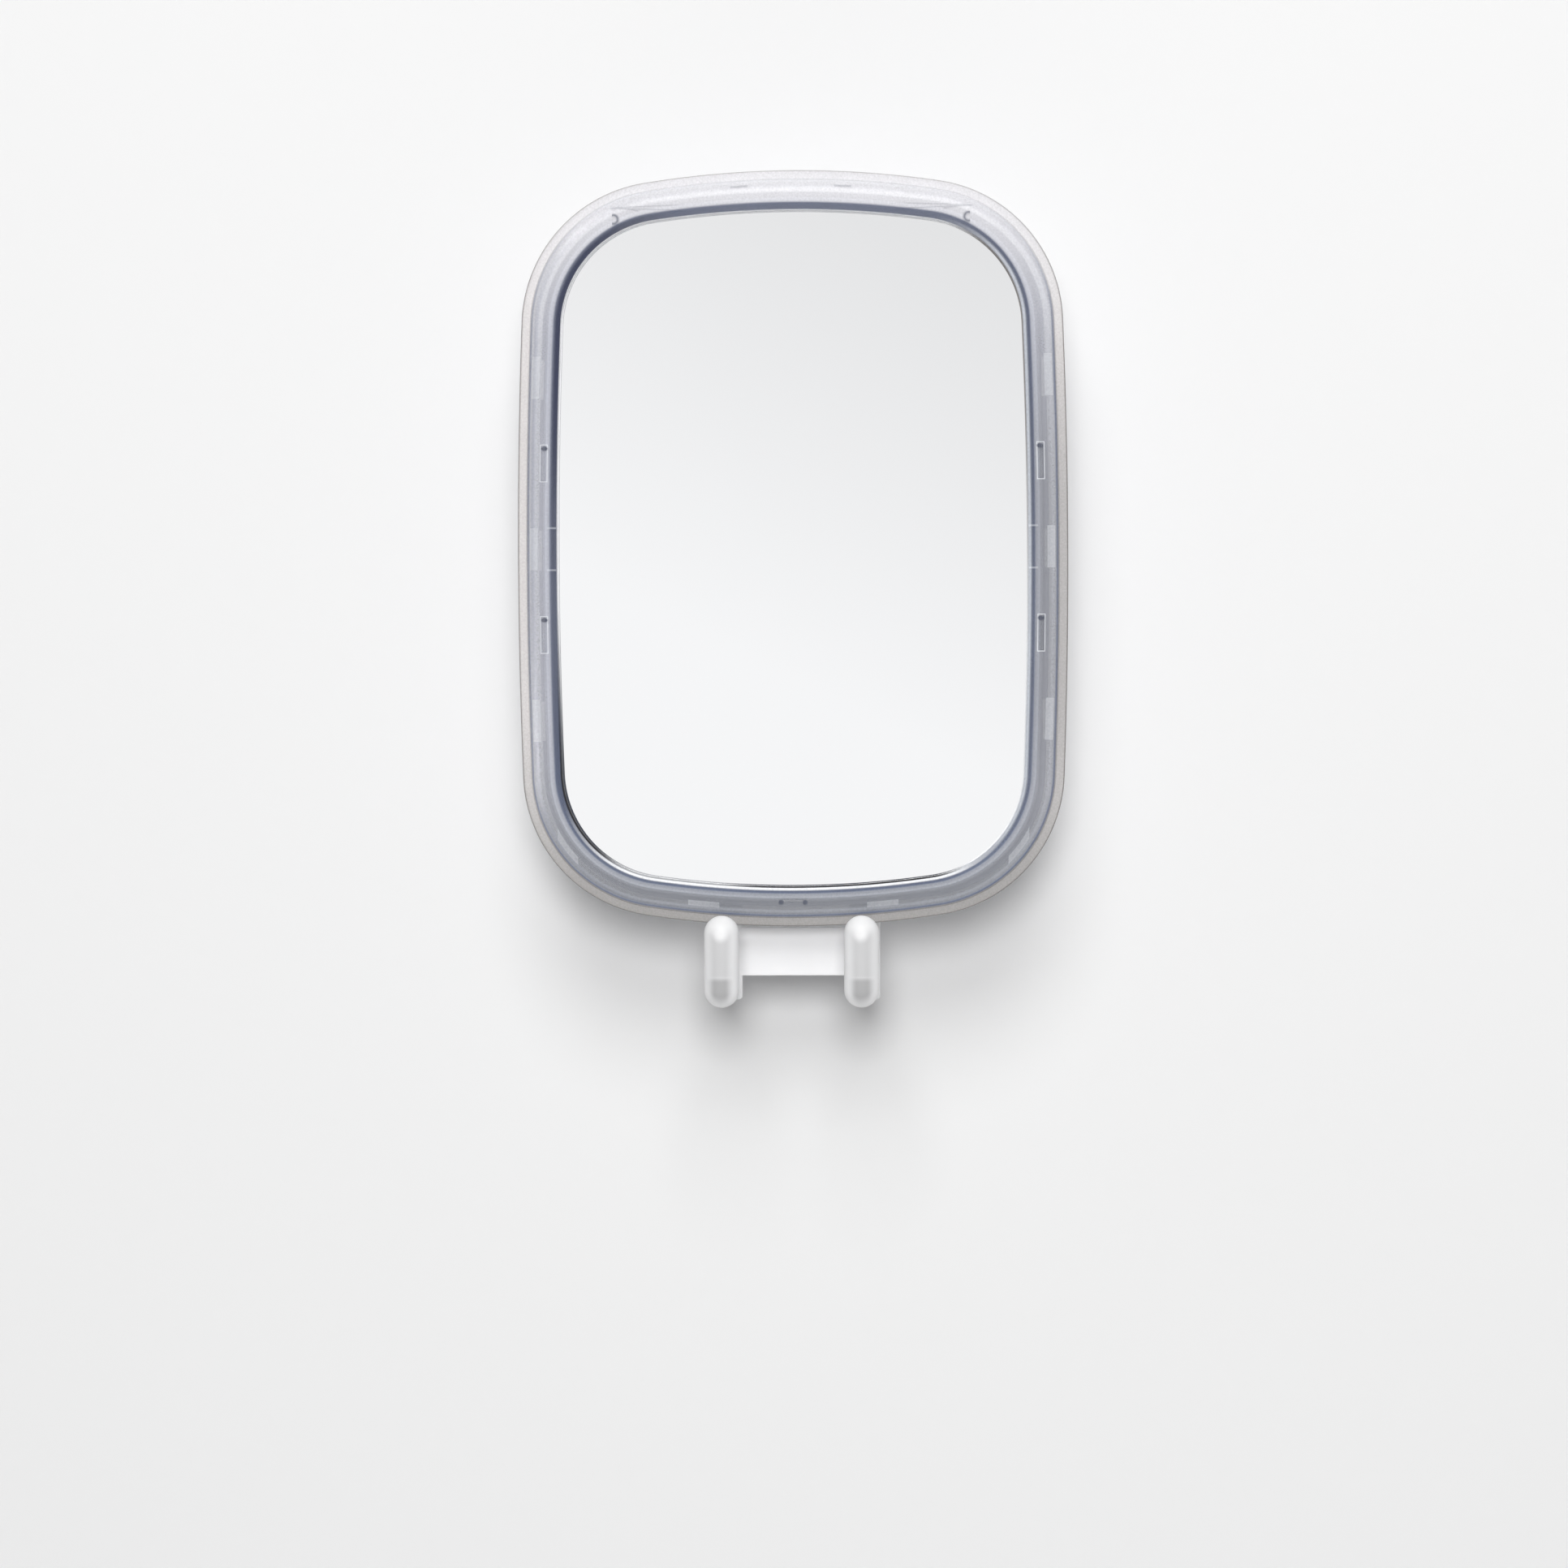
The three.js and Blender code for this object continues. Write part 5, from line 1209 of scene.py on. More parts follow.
class MIRROR_OT_socket(bpy.types.Operator):
    """The hanger socket: a thick plate with ears, cut by the channel that the tongue slides in"""

    bl_idname = "shower_mirror.socket"
    bl_label = "Hanger socket"

    def execute(self, context):
        low, high = socket_low, socket_high
        back, front = -high.y, -low.y
        ear_width = 8 * MM
        corner = 3 * MM
        floor = front - 2.4 * MM
        lip = back + 1.8 * MM
        bottom, top = low.z - OVERRUN, high.z - 2.2 * MM
        left, right = low.x + ear_width, high.x - ear_width
        body = block("hanging_socket", (left, back, low.z), (right, front, high.z), corner, 0.5 * MM)
        ears = block("ears", (low.x, floor, low.z), (high.x, front, high.z), corner, 0.4 * MM)
        half = NECK_HALF_WIDTH + TONGUE_GAP
        mouth = block("mouth", (-half, back - OVERRUN, bottom), (half, floor, top), 0.3 * MM)
        half = TONGUE_HALF_WIDTH + TONGUE_GAP
        channel = block("channel", (-half, lip, bottom), (half, floor, top), 0.3 * MM)
        holes = [
            rod("hole", SCREW_HOLE, floor - OVERRUN, front + OVERRUN, side * SOCKET_SCREW_X, z)
            for side in (-1, 1)
            for z in socket_screw_heights
        ]
        carved(body, join=[ears], cut=[mouth, channel, merged("holes", holes)])
        dressed(body, satin_white(), "hanger_socket", "mirror")
        return {"FINISHED"}


# Holder and sleeves


def arm(name, side, margin, reach_back=0.0):
    """An arm that runs forward, bends up by a quarter circle and ends in a finger with a round tip.

    The section is a round rectangle across the path. Its half thickness goes from the arm's to the
    finger's by the square of the bend's sine.
    """
    holder = bpy.context.scene.mirror_holder
    half_width = 3 * MM
    arm_half = 4.2 * MM
    finger_half = 2.3 * MM
    radius = 4.6 * MM
    tip_radius = 1.6 * MM
    corner = 2.2 * MM
    depth = -(sleeve_low.y + sleeve_high.y) / 2
    height = sleeve_low.z + ARM_LIFT + arm_half
    tip = sleeve_high.z - 6 * MM - tip_radius
    start = HOLDER_BACK + holder.plate_thickness - 1.6 * MM - reach_back
    angle = np.radians(np.linspace(0, 90, 13))[1:]
    round_off = np.radians([30, 60, 85])
    taper = 0.35 + 0.65 * np.cos(round_off)
    run, rise = depth - radius + radius * np.sin(angle), height + radius - radius * np.cos(angle)
    up = np.linspace(height + radius, tip, 4)[1:]
    ones, nothing = np.ones(3), np.zeros(3)
    level_run = [start, depth - radius - 6 * MM, depth - radius]
    depths = np.concatenate([level_run, run, ones * depth, ones * depth])
    heights = np.concatenate([ones * height, rise, up, tip + (tip_radius + margin) * np.sin(round_off)])
    tilts = np.concatenate([ones * 90.0, 90 - np.degrees(angle), nothing, nothing])
    share = np.concatenate([nothing, np.sin(angle) ** 2, ones])
    halves = arm_half + (finger_half - arm_half) * share + margin
    widths = np.full(len(halves), half_width + margin)
    halves = np.append(halves, halves[-1] * taper)
    widths = np.append(widths, widths[-1] * taper)
    x = np.full(len(depths), side * holder.spacing)
    stations = np.stack([x, depths, heights, widths, halves, -np.radians(tilts)], axis=-1)
    return loft(name, stations, corner + margin)


class MIRROR_OT_razor_holder(bpy.types.Operator):
    """The holder: a plate, two feet with gussets and two bent arms"""

    bl_idname = "shower_mirror.razor_holder"
    bl_label = "Razor holder"

    def execute(self, context):
        holder = context.scene.mirror_holder
        back = HOLDER_BACK
        front = back + holder.plate_thickness
        reach = holder.spacing + FOOT_HALF_WIDTH
        plate_top = frame_low.z - 0.6 * MM
        plate_height = 14.6 * MM
        foot_top = pad_face - FIT_GAP
        foot_bottom = foot_top - FOOT_THICKNESS
        gusset_thickness = 1.1 * MM
        gusset_back, gusset_front = HOLDER_SCREW_DEPTH - 2 * MM, back + 1 * MM
        gusset_bottom, gusset_top = foot_bottom - 6 * MM, foot_top - 0.5 * MM
        low, high = (-reach, back, plate_top - plate_height), (reach, front, plate_top)
        plate = block("holder_plate", low, high, 3 * MM, 0.4 * MM)
        joined, holes = [], []
        for side in (-1, 1):
            x = side * holder.spacing
            left, right = x - FOOT_HALF_WIDTH, x + FOOT_HALF_WIDTH
            low, high = (left, back, sleeve_low.z + ARM_LIFT), (right, front, foot_top)
            joined.append(block("upright", low, high, 1 * MM, 0.35 * MM))
            low, high = (left, front - FOOT_REACH, foot_bottom), (right, front, foot_top)
            joined.append(block("foot", low, high, 1 * MM, 0.3 * MM, "Z"))
            for x_low in (left + 0.2 * MM, right - 0.2 * MM - gusset_thickness):
                low = (x_low, gusset_back, gusset_bottom)
                high = (x_low + gusset_thickness, gusset_front, gusset_top)
                joined.append(block("gusset", low, high, 5 * MM, 0.2 * MM, "X"))
            joined.append(arm("arm", side, 0.0))
            low, high = foot_bottom - OVERRUN, foot_top + OVERRUN
            holes.append(rod("hole", SCREW_HOLE, low, high, x, HOLDER_SCREW_DEPTH, "Z"))
        carved(plate, join=joined, cut=[merged("holes", holes)])
        dressed(plate, satin_white(), "razor_holder", "mirror")
        return {"FINISHED"}


class MIRROR_OT_sleeves(bpy.types.Operator):
    """The soft sleeves: round-ended pods, hollowed by the arm and finger grown a little"""

    bl_idname = "shower_mirror.sleeves"
    bl_label = "Soft sleeves"

    def execute(self, context):
        holder = context.scene.mirror_holder
        depth = -(sleeve_low.y + sleeve_high.y) / 2
        radius = holder.sleeve_radius
        top, bottom = sleeve_high.z, sleeve_low.z
        angle = np.radians(np.linspace(3, 90, 14))
        low = np.stack([radius * np.sin(angle), bottom + radius - radius * np.cos(angle)], axis=-1)
        profile = np.concatenate([low, low[::-1] * (1, -1) + (0, top + bottom)])
        for side, name in ((-1, "left"), (1, "right")):
            pod = turned(f"sleeve_{name}", profile, side * holder.spacing, depth, 64, "Z")
            carved(pod, cut=[arm("hollow", side, FIT_GAP, 6 * MM)])
            dressed(pod, milky_sleeve(), f"hook_sleeve_{name}", "mirror")
        return {"FINISHED"}


# Screws and mount


def screw(name, length, sunk):
    """A screw along Y with its head's face at depth zero: a turned profile with a cross cut into it."""
    shank, head, height = 1.4 * MM, 2.8 * MM, 1.9 * MM
    root = shank * 0.82
    pitch = 0.7 * MM
    point = 0.9 * MM
    top = [(head, 0.0), (head, -height / 6)] if sunk else bend((0, -height), (head, height), 80, 0, 8)
    start = -height - (np.arange(int((length - height - point) / pitch)) + 0.2) * pitch
    turns = np.stack([start, start - 0.2 * MM, start - 0.28 * MM, start - 0.48 * MM], axis=-1).ravel()
    thread = np.stack([np.resize([root, shank, shank, root], len(turns)), turns], axis=-1)
    piece = turned(name, [*top, *thread, (root, point - length), (shank / 4, -length)], steps=32)
    long, narrow, deep = 1.45 * MM, 0.35 * MM, 1.1 * MM
    slots = [
        block("slot", (-wide, -deep, -tall), (wide, OVERRUN, tall), 0.15 * MM)
        for wide, tall in ((long, narrow), (narrow, long))
    ]
    return carved(piece, cut=slots)


class MIRROR_OT_screws(bpy.types.Operator):
    """Ten cross-head screws: four in the socket, two in the holder and four sunk in the hook plate"""

    bl_idname = "shower_mirror.screws"
    bl_label = "Screws"

    def execute(self, context):
        towards_wall = np.diag([1.0, -1.0, -1.0])
        downwards = np.array([[1.0, 0, 0], [0, 0, -1.0], [0, 1.0, 0]])
        # The head's place is a share of the way through the CAD screw's box
        for kind, ends, length, sunk, turn, share, body in (
            ("socket_screw", "1234", 7.6 * MM, False, towards_wall, (0.5, 1, 0.5), "mirror"),
            ("holder_screw", ("left", "right"), 7.6 * MM, False, downwards, (0.5, 0.5, 0), "mirror"),
            ("plate_screw", "1234", 7 * MM, True, np.eye(3), (0.5, 0, 0.5), "mount"),
        ):
            master = screw(kind, length, sunk)
            for end in ends:
                low, high = (np.array(corner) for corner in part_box(f"{kind}_{end}"))
                piece = shown(f"{kind}.{end}", master.data.copy())
                placed(piece, turn, low + (high - low) * share)
                dressed(piece, bright_steel(), f"{kind}_{end}", body)
            dropped(master)
        return {"FINISHED"}


def plate_screw_places():
    """X and Z of the four screws that hold the hook plate on the housing."""
    for k in (1, 2, 3, 4):
        low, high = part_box(f"plate_screw_{k}")
        yield (low.x + high.x) / 2, (low.z + high.z) / 2


class MIRROR_OT_housing(bpy.types.Operator):
    """The mount's housing: a turned dish with ribs, bosses and ears, cut for the post and the lever"""

    bl_idname = "shower_mirror.housing"
    bl_label = "Mount housing"

    def execute(self, context):
        sizes = context.scene.mirror_mount
        radius, front = sizes.housing_radius, sizes.housing_front
        wall, shoulder, draft, edge = 2.2 * MM, 5.5 * MM, 0.7 * MM, 0.3 * MM
        rib_start, rib_depth, rib_half = 13 * MM, 5 * MM, 0.7 * MM
        boss_radius, boss_length, hole_length = 3.1 * MM, 6.5 * MM, 5.1 * MM
        ear_half, ear_width, fork_half, pin_reach = 4 * MM, 3 * MM, 8 * MM, 12 * MM
        slot_back, slot_bottom, guide_radius = 7.9 * MM, 5.6 * MM, 4.3 * MM
        inside = front - wall
        root = inside + wall / 2
        back = -housing_high.y
        middle = (radius - draft - shoulder, front - shoulder)
        section = [
            *bend(middle, (shoulder, shoulder), 90, 0, 10),
            (radius, back + edge),
            (radius - edge, back),
            (radius - wall, back),
            *bend(middle, (shoulder - wall, shoulder - wall), 0, 90, 8),
        ]
        dish = turned("housing_dish", section)
        joined, holes = [], []
        for degrees in (-170, -142, -38, -10, 18, 162):
            low = (rib_start, inside - rib_depth, -rib_half)
            high = (radius - wall + 0.2 * MM, root, rib_half)
            rib = block("rib", low, high, 0.3 * MM, 0.1 * MM)
            c, s = math.cos(math.radians(degrees)), math.sin(math.radians(degrees))
            joined.append(placed(rib, [[c, 0, -s], [0, 1, 0], [s, 0, c]], (0, 0, 0)))
        for x, z in plate_screw_places():
            joined.append(rod("boss", boss_radius, front - boss_length, front - wall / 2, x, z, steps=32))
            holes.append(rod("hole", SCREW_HOLE, front - hole_length, front + OVERRUN, x, z, steps=32))
        for side in (-1, 1):
            low = (side * fork_half, PIN_DEPTH - ear_half, PIVOT_HEIGHT - ear_half)
            high = (side * (fork_half + ear_width), root, PIVOT_HEIGHT + ear_half)
            joined.append(block("ear", low, high, 3.2 * MM, 0.2 * MM, "X"))
        low, high = (-fork_half, slot_back, slot_bottom), (fork_half, front + OVERRUN, radius + OVERRUN)
        slot = block("slot", low, high, 0.8 * MM)
        guide = rod("guide", guide_radius, inside - OVERRUN, front + OVERRUN, 0, 0)
        pin = rod("pin", LEVER_PIN_HOLE, -pin_reach, pin_reach, PIN_DEPTH, PIVOT_HEIGHT, "X")
        carved(dish, join=joined, cut=[slot, guide, pin, merged("holes", holes)])
        dressed(dish, satin_white(), "mount_housing", "mount")
        return {"FINISHED"}


class MIRROR_OT_hook_plate(bpy.types.Operator):
    """The hook plate: a base, a neck and a tongue, with four sunk screw holes"""

    bl_idname = "shower_mirror.hook_plate"
    bl_label = "Hook plate"

    def execute(self, context):
        low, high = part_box("hook_plate")
        back, front = -high.y, -low.y
        base_front = back + 2 * MM
        tongue_half = 1.5 * MM
        tongue_back = front - 2 * tongue_half
        bottom, straight, top = -24 * MM, -9 * MM, -4 * MM
        corner, edge, top_half, steps = 10 * MM, 0.3 * MM, 11.5 * MM, 21
        first, last = (low.x, back, low.z), (high.x, base_front, high.z)
        base = block("tongue_plate", first, last, corner, edge, steps=10)
        neck_low = (-NECK_HALF_WIDTH, back + 1 * MM, bottom)
        neck_high = (NECK_HALF_WIDTH, tongue_back + tongue_half, top)
        neck = block("neck", neck_low, neck_high, 2 * MM, 0.1 * MM)
        z = np.linspace(bottom, top, steps)
        half = np.interp(z, [bottom, straight, top], [TONGUE_HALF_WIDTH, TONGUE_HALF_WIDTH, top_half])
        depth, thick = np.full(steps, (tongue_back + front) / 2), np.full(steps, tongue_half)
        stations = np.stack([np.zeros(steps), depth, z, half, thick, np.zeros(steps)], axis=-1)
        tongue = loft("tongue", stations, 0.5 * MM)
        head = 3.1 * MM
        sink = [
            (SCREW_HOLE, back - OVERRUN),
            (SCREW_HOLE, base_front - 1.9 * MM),
            (head, base_front - 0.6 * MM),
            (head, base_front + OVERRUN),
        ]
        holes = [turned("sink", sink, x, z, 40) for x, z in plate_screw_places()]
        carved(base, join=[neck, tongue], cut=[merged("holes", holes)])
        dressed(base, satin_white(), "hook_plate", "mount")
        return {"FINISHED"}


class MIRROR_OT_cup(bpy.types.Operator):
    """The suction cup: a turned profile with a pull tab"""

    bl_idname = "shower_mirror.cup"
    bl_label = "Suction cup"

    def execute(self, context):
        radius = context.scene.mirror_mount.cup_radius
        skin = 2.4 * MM
        ring_depth = 2.6 * MM
        foot, neck, shoulder = 7.5 * MM, 4.3 * MM, 10.1 * MM
        recess, recess_top, crown = 4.9 * MM, 6.9 * MM, 8.1 * MM
        edge, lip = 0.5 * MM, 1.2 * MM
        hollow = [(10.6, 3.4), (14.0, 3.1), (18.0, 2.6), (22.0, 1.65), (24.6, 0.6), (27.0, 0.0)]
        hollow = np.array(hollow) * MM
        spread = np.array([0.3, 0.3, 0.3, 0.9, 0.9, 0.9]) * MM
        dome = np.stack([hollow[:, 0] + spread, hollow[:, 1] + skin], axis=-1)
        profile = [
            (foot, recess),
            (foot, recess_top),
            (neck, recess_top),
            (neck, crown),
            *bend((shoulder, crown - edge), (edge, edge), 90, 0),
            *dome[:-1],
            (hollow[-1, 0] + skin, ring_depth),
            (radius - skin, ring_depth),
            *bend((radius - lip, ring_depth - lip), (lip, lip), 90, 0),
            (radius, edge),
            (radius - edge, 0.0),
            *hollow[::-1],
        ]
        cup = turned("clear_cup", profile)
        half, tab_back, tab_front, tab_root = 7 * MM, 0.7 * MM, 2.1 * MM, 4 * MM
        low, high = (-half, tab_back, cup_low.z), (half, tab_front, -radius + tab_root)
        tab = block("tab", low, high, half, 0.4 * MM, steps=10)
        ridge_radius, ridge_half, ridge_depth = 0.6 * MM, 4 * MM, 2 * MM
        first_ridge, ridge_pitch = cup_low.z + 2.5 * MM, 1.8 * MM
        ridges = []
        for k in range(3):
            height = first_ridge + k * ridge_pitch
            ridges.append(rod("ridge", ridge_radius, -ridge_half, ridge_half, ridge_depth, height, "X", 16))
        carved(cup, join=[tab, merged("ridges", ridges)])
        dressed(cup, cup_rubber(), "suction_cup", sharp=40)
        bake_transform(cup)
        return {"FINISHED"}


class MIRROR_OT_post(bpy.types.Operator):
    """The post with its foot, its pin and the lever's pin"""

    bl_idname = "shower_mirror.post"
    bl_label = "Post and pins"

    def execute(self, context):
        low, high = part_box("cup_post")
        back, front = -high.y, -low.y
        foot, shank = 7.2 * MM, 4 * MM
        edge, top_edge = 0.3 * MM, 0.4 * MM
        pin_hole, pin_reach = 1.5 * MM, 6 * MM
        foot_front = back + 1.4 * MM
        section = [
            *bend((foot - edge, back + edge), (edge, edge), 270, 360),
            (foot, foot_front),
            (shank + 0.2 * MM, foot_front),
            (shank, foot_front + edge),
            *bend((shank - top_edge, front - top_edge), (top_edge, top_edge), 0, 90),
        ]
        post = turned("pull_post", section, steps=48)
        carved(post, cut=[rod("hole", pin_hole, -pin_reach, pin_reach, PIN_DEPTH, 0, "X")])
        dressed(post, satin_white(), "cup_post", "post")
        for name, node, radius, height, body in (
            ("post_rod", "post_pin", 1.2 * MM, 0.0, "post"),
            ("lever_rod", "lever_pin", 2 * MM, PIVOT_HEIGHT, "mount"),
        ):
            low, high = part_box(node)
            pin = rod(name, radius, low.x, high.x, PIN_DEPTH, height, "X", edge=0.3 * MM)
            dressed(pin, bright_steel(), node, body)
        return {"FINISHED"}


class MIRROR_OT_lever(bpy.types.Operator):
    """The lever: round rectangles carried from its fork to its handle, with a hub, holes and a ribbed grip"""

    bl_idname = "shower_mirror.lever"
    bl_label = "Lever"

    def execute(self, context):
        step, grip_half = 2.6 * MM, 1.7 * MM
        fork_half, hub_radius = 7 * MM, 3.2 * MM
        throat_half, throat_bottom, throat_top, throat_front = 4.4 * MM, -6 * MM, 6.6 * MM, 17 * MM
        slot_half, slot_rise, slot_reach, hole_reach = 1.5 * MM, 2 * MM, 8 * MM, 9 * MM
        fork = [-4.0, -3.6, -3.0, 0, 6, 12, 16, 20]
        handle = [24, 30, 36, 42, 44, 46, 48, 50, 52, 55, 58, 61, 63, 64.5, 65.5, 66]
        heights = np.array([*fork, *handle]) * MM
        width_at = [(-4, 7), (12, 7), (20, 5.4), (42, 5.4), (52, 10), (61, 10), (63, 9.4), (64.5, 8.2)]
        width_at = np.array([*width_at, (65.5, 6.6), (66, 5.0)]) * MM
        depth_at = [(-4, 1.5), (-3.6, 2.3), (-3, 2.7), (12, 2.7), (20, 2), (42, 2), (52, 1.7), (65, 1.7)]
        depth_at = np.array([*depth_at, (65.5, 1.5), (66, 1.0)]) * MM
        half_width, half_depth = np.interp(heights, *width_at.T), np.interp(heights, *depth_at.T)
        rise = np.clip((heights - 42 * MM) / (10 * MM), 0, 1)
        depth = PIN_DEPTH - step * rise**2 * (3 - 2 * rise)
        nothing = np.zeros_like(heights)
        stations = np.stack([nothing, depth, heights, half_width, half_depth, nothing], axis=-1)
        lever = loft("press_lever", stations, 0.9 * MM)
        hub = rod("hub", hub_radius, -fork_half, fork_half, PIN_DEPTH, PIVOT_HEIGHT, "X", edge=0.3 * MM)
        low, high = (-throat_half, 0, throat_bottom), (throat_half, throat_front, throat_top)
        throat = block("throat", low, high, 0.8 * MM)
        low = (-slot_reach, PIN_DEPTH - slot_half, -slot_rise)
        high = (slot_reach, PIN_DEPTH + slot_half, slot_rise)
        slot = block("slot", low, high, slot_half, axis="X")
        hole = rod("hole", LEVER_PIN_HOLE, -hole_reach, hole_reach, PIN_DEPTH, PIVOT_HEIGHT, "X")
        groove_depth = PIN_DEPTH - step + grip_half + 0.35 * MM
        groove_radius, groove_reach = 0.8 * MM, 11 * MM
        first_groove, groove_pitch = 62.3 * MM, 2.6 * MM
        grooves = []
        for k in range(4):
            height = first_groove - k * groove_pitch
            groove = rod("groove", groove_radius, -groove_reach, groove_reach, groove_depth, height, "X", 20)
            grooves.append(groove)
        carved(lever, join=[hub], cut=[throat, slot, hole, merged("grooves", grooves)])
        dressed(lever, satin_white(), "lever", "lever")
        return {"FINISHED"}


# Stage


def backdrop_material():
    """The pale wall, which is clear when seen from behind."""
    made = bpy.data.materials.new("backdrop")
    made.use_nodes = True
    tree = made.node_tree
    shader = tree.nodes["Principled BSDF"]
    shader.inputs["Base Color"].default_value = bpy.context.scene.mirror_finishes.wall
    shader.inputs["Roughness"].default_value = 0.9
    shader.inputs["Specular IOR Level"].default_value = 0.1
    behind = add(tree, "NewGeometry", {}, "Backfacing")
    sockets = {0: behind, 1: Value(tree, shader.outputs[0]), 2: add(tree, "BsdfTransparent", {})}
    put(tree.nodes["Material Output"].inputs["Surface"], add(tree, "MixShader", sockets))
    return made


def card_material():
    """The light of the card that the mirror shows, a little darker towards its upper right."""
    made = bpy.data.materials.new("card")
    made.use_nodes = True
    tree = made.node_tree
    tree.nodes.remove(tree.nodes["Principled BSDF"])
    place = add(tree, "TexCoord", {}, "Object")
    lean = add(tree, "VectorMath", {0: place, 1: (0.45, 0.0, 0.9)}, "Value", operation="DOT_PRODUCT")
    share = add(tree, "MapRange", {"Value": lean, "From Min": -0.5, "From Max": 0.5})
    shade = share.ramp((0.42, 0.86), ((0.975, 0.975, 0.98, 1), (0.81, 0.81, 0.815, 1)))
    put(tree.nodes["Material Output"].inputs["Surface"], add(tree, "Emission", {"Color": shade}))
    return made


def make_backdrop():
    """A wall just behind the cup that bends by a quarter circle into a short floor, far below."""
    floor, reach, depth, radius, top = -1.7, 4.0, 1.7, 0.18, 2.4
    wall_gap = 0.6 * MM
    angle = np.radians(np.linspace(0, 90, 25))
    y = np.concatenate([[0.0], -radius * (1 - np.cos(angle)), [-depth]]) + wall_gap
    z = np.concatenate([[top], floor + radius * (1 - np.sin(angle)), [floor]])
    x, y, z = np.broadcast_arrays([[-reach], [reach]], y, z)
    index = np.arange(x.size).reshape(2, -1)
    faces = np.stack([index[0, :-1], index[0, 1:], index[1, 1:], index[1, :-1]], axis=-1)
    backdrop = meshed("backdrop", np.stack([x, y, z], axis=-1).reshape(-1, 3), faces.tolist())
    backdrop.data.polygons.foreach_set("use_smooth", np.ones(len(faces), bool))
    backdrop.data.materials.append(backdrop_material())
    backdrop.visible_shadow = False


def make_card():
    """A card behind the camera, which only the mirror and other shiny surfaces see."""
    half_width, half_height, far = 1.2, 1.3, -3.2
    corners = [(-half_width, -half_height), (half_width, -half_height)]
    corners += [(half_width, half_height), (-half_width, half_height)]
    card = meshed("card", np.array([(x, far, z) for x, z in corners]), [(3, 2, 1, 0)])
    card.data.materials.append(card_material())
    for ray in ("camera", "diffuse", "transmission", "shadow", "volume_scatter"):
        setattr(card, f"visible_{ray}", False)


def make_world(strength):
    """Even light from all round, which camera, mirror and glass see as a pale backdrop instead."""
    world = bpy.data.worlds.new("studio")
    bpy.context.scene.world = world
    world.use_nodes = True
    tree = world.node_tree
    even = tree.nodes["Background"]
    even.inputs["Color"].default_value = (1, 1, 1, 1)
    even.inputs["Strength"].default_value = strength
    pale = add(tree, "Background", {"Color": (0.93, 0.93, 0.93, 1), "Strength": 1.0})
    path = tree.nodes.new("ShaderNodeLightPath")
    camera, glossy, transmission = (
        Value(tree, path.outputs[f"Is {ray} Ray"]) for ray in ("Camera", "Glossy", "Transmission")
    )
    seen = camera.larger(glossy).larger(transmission)
    mixed = add(tree, "MixShader", {0: seen, 1: Value(tree, even.outputs[0]), 2: pale})
    put(tree.nodes["World Output"].inputs["Surface"], mixed)


def make_lamps(stage):
    """Two soft lamps before the mirror and one behind the wall, and a narrow one for the cup.

    The cup lies on the wall, so what lights it from behind is a lamp of its own.
    """
    for name, power, size, spot, aim in (
        ("key", stage.key_power, 1.0, (0.02, -1.7, 1.1), (0, 0, -0.03)),
        ("front", stage.front_power, 0.7, (0.1, -2.6, 0.3), (0, 0, -0.05)),
        ("behind", stage.key_power * 0.15, 1.6, (0.2, 1.4, 0.9), (0, 0, -0.03)),
    ):
        lamp = bpy.data.lights.new(name, "AREA")
        lamp.shape = "DISK"
        lamp.size = size
        lamp.energy = power
        made = shown(name, lamp)
        made.location = spot
        made.rotation_mode = "QUATERNION"
        made.rotation_quaternion = Vector(np.subtract(aim, spot)).to_track_quat("-Z", "Y")
        made.visible_glossy = name != "front"
    lamp = bpy.data.lights.new("cup_light", "SPOT")
    lamp.energy = stage.cup_power
    lamp.spot_size = math.radians(3.4)
    lamp.spot_blend = 0.6
    lamp.shadow_soft_size = 0.12
    made = shown("cup_light", lamp)
    made.location = (0, 1.5, 0)
    made.rotation_euler = (-math.pi / 2, 0, 0)


def make_camera(stage):
    """The camera, level with its target and a little to the right."""
    sensor = 36.0
    lens = bpy.data.cameras.new("camera")
    lens.sensor_width = sensor
    lens.lens = sensor * stage.distance / stage.view_width
    lens.clip_start, lens.clip_end = 0.1, 20.0
    camera = shown("camera", lens)
    x = stage.target_x + stage.distance * math.sin(stage.turn)
    y = -(stage.distance * math.cos(stage.turn) + frame_front)
    camera.location = (x, y, stage.target_z)
    camera.rotation_euler = (math.pi / 2, stage.roll, stage.turn)
    bpy.context.scene.camera = camera


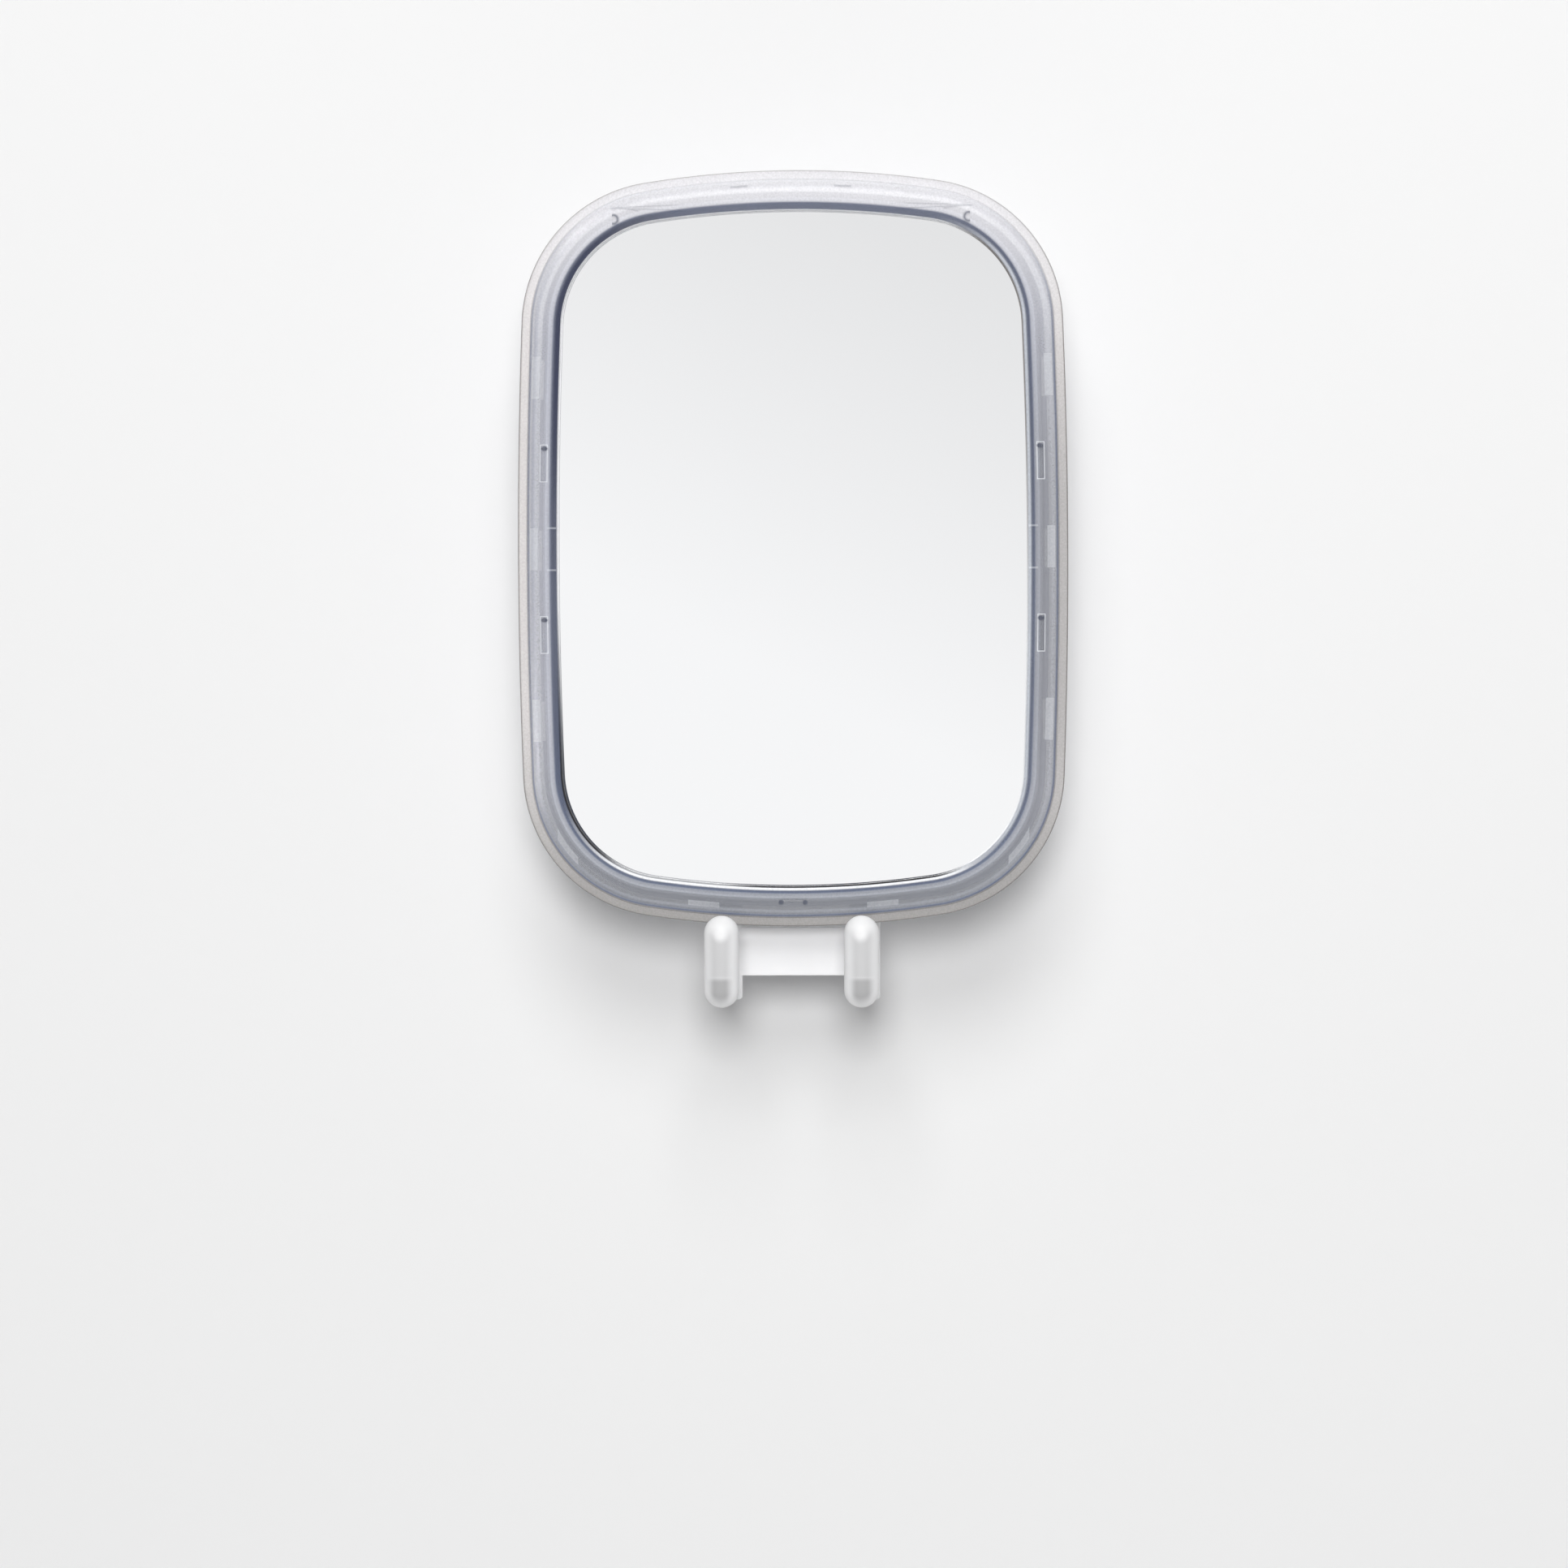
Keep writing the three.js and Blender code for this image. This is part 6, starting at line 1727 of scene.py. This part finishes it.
class MIRROR_OT_stage(bpy.types.Operator):
    """A pale wall that bends into a floor, a card for the mirror to show, the lights and the camera"""

    bl_idname = "shower_mirror.stage"
    bl_label = "Stage"

    def execute(self, context):
        scene = context.scene
        stage = scene.mirror_stage
        make_backdrop()
        make_card()
        make_world(stage.sky_strength)
        make_lamps(stage)
        make_camera(stage)
        scene.view_settings.view_transform = "Standard"
        scene.cycles.transparent_max_bounces = 32
        return {"FINISHED"}


class MIRROR_PT_panel(bpy.types.Panel):
    """The operators and settings, in the sidebar"""

    bl_idname = "MIRROR_PT_panel"
    bl_label = "Shower Mirror"
    bl_space_type = "VIEW_3D"
    bl_region_type = "UI"
    bl_category = "Mirror"

    def draw(self, context):
        for operator in OPERATORS:
            self.layout.operator(operator.bl_idname)
        for name, settings in SETTINGS.items():
            column = self.layout.column(align=True)
            for key in settings.__annotations__:
                column.prop(getattr(context.scene, name), key)


OPERATORS = (
    MIRROR_OT_front_frame,
    MIRROR_OT_pane,
    MIRROR_OT_seals,
    MIRROR_OT_tank,
    MIRROR_OT_socket,
    MIRROR_OT_razor_holder,
    MIRROR_OT_sleeves,
    MIRROR_OT_screws,
    MIRROR_OT_housing,
    MIRROR_OT_hook_plate,
    MIRROR_OT_cup,
    MIRROR_OT_post,
    MIRROR_OT_lever,
    MIRROR_OT_stage,
)
SETTINGS = {
    "mirror_frame": FrameSizes,
    "mirror_holder": HolderSizes,
    "mirror_mount": MountSizes,
    "mirror_finishes": Finishes,
    "mirror_stage": StageSettings,
}


def register():
    for name, group in SETTINGS.items():
        bpy.utils.register_class(group)
        setattr(bpy.types.Scene, name, bpy.props.PointerProperty(type=group))
    for made in (*OPERATORS, MIRROR_PT_panel):
        bpy.utils.register_class(made)


def unregister():
    for made in reversed((*OPERATORS, MIRROR_PT_panel)):
        bpy.utils.unregister_class(made)
    for name, group in reversed(SETTINGS.items()):
        delattr(bpy.types.Scene, name)
        bpy.utils.unregister_class(group)


def main():
    register()
    for operator in OPERATORS:
        section, name = operator.bl_idname.split(".")
        getattr(getattr(bpy.ops, section), name)()


if __name__ == "__main__":
    main()
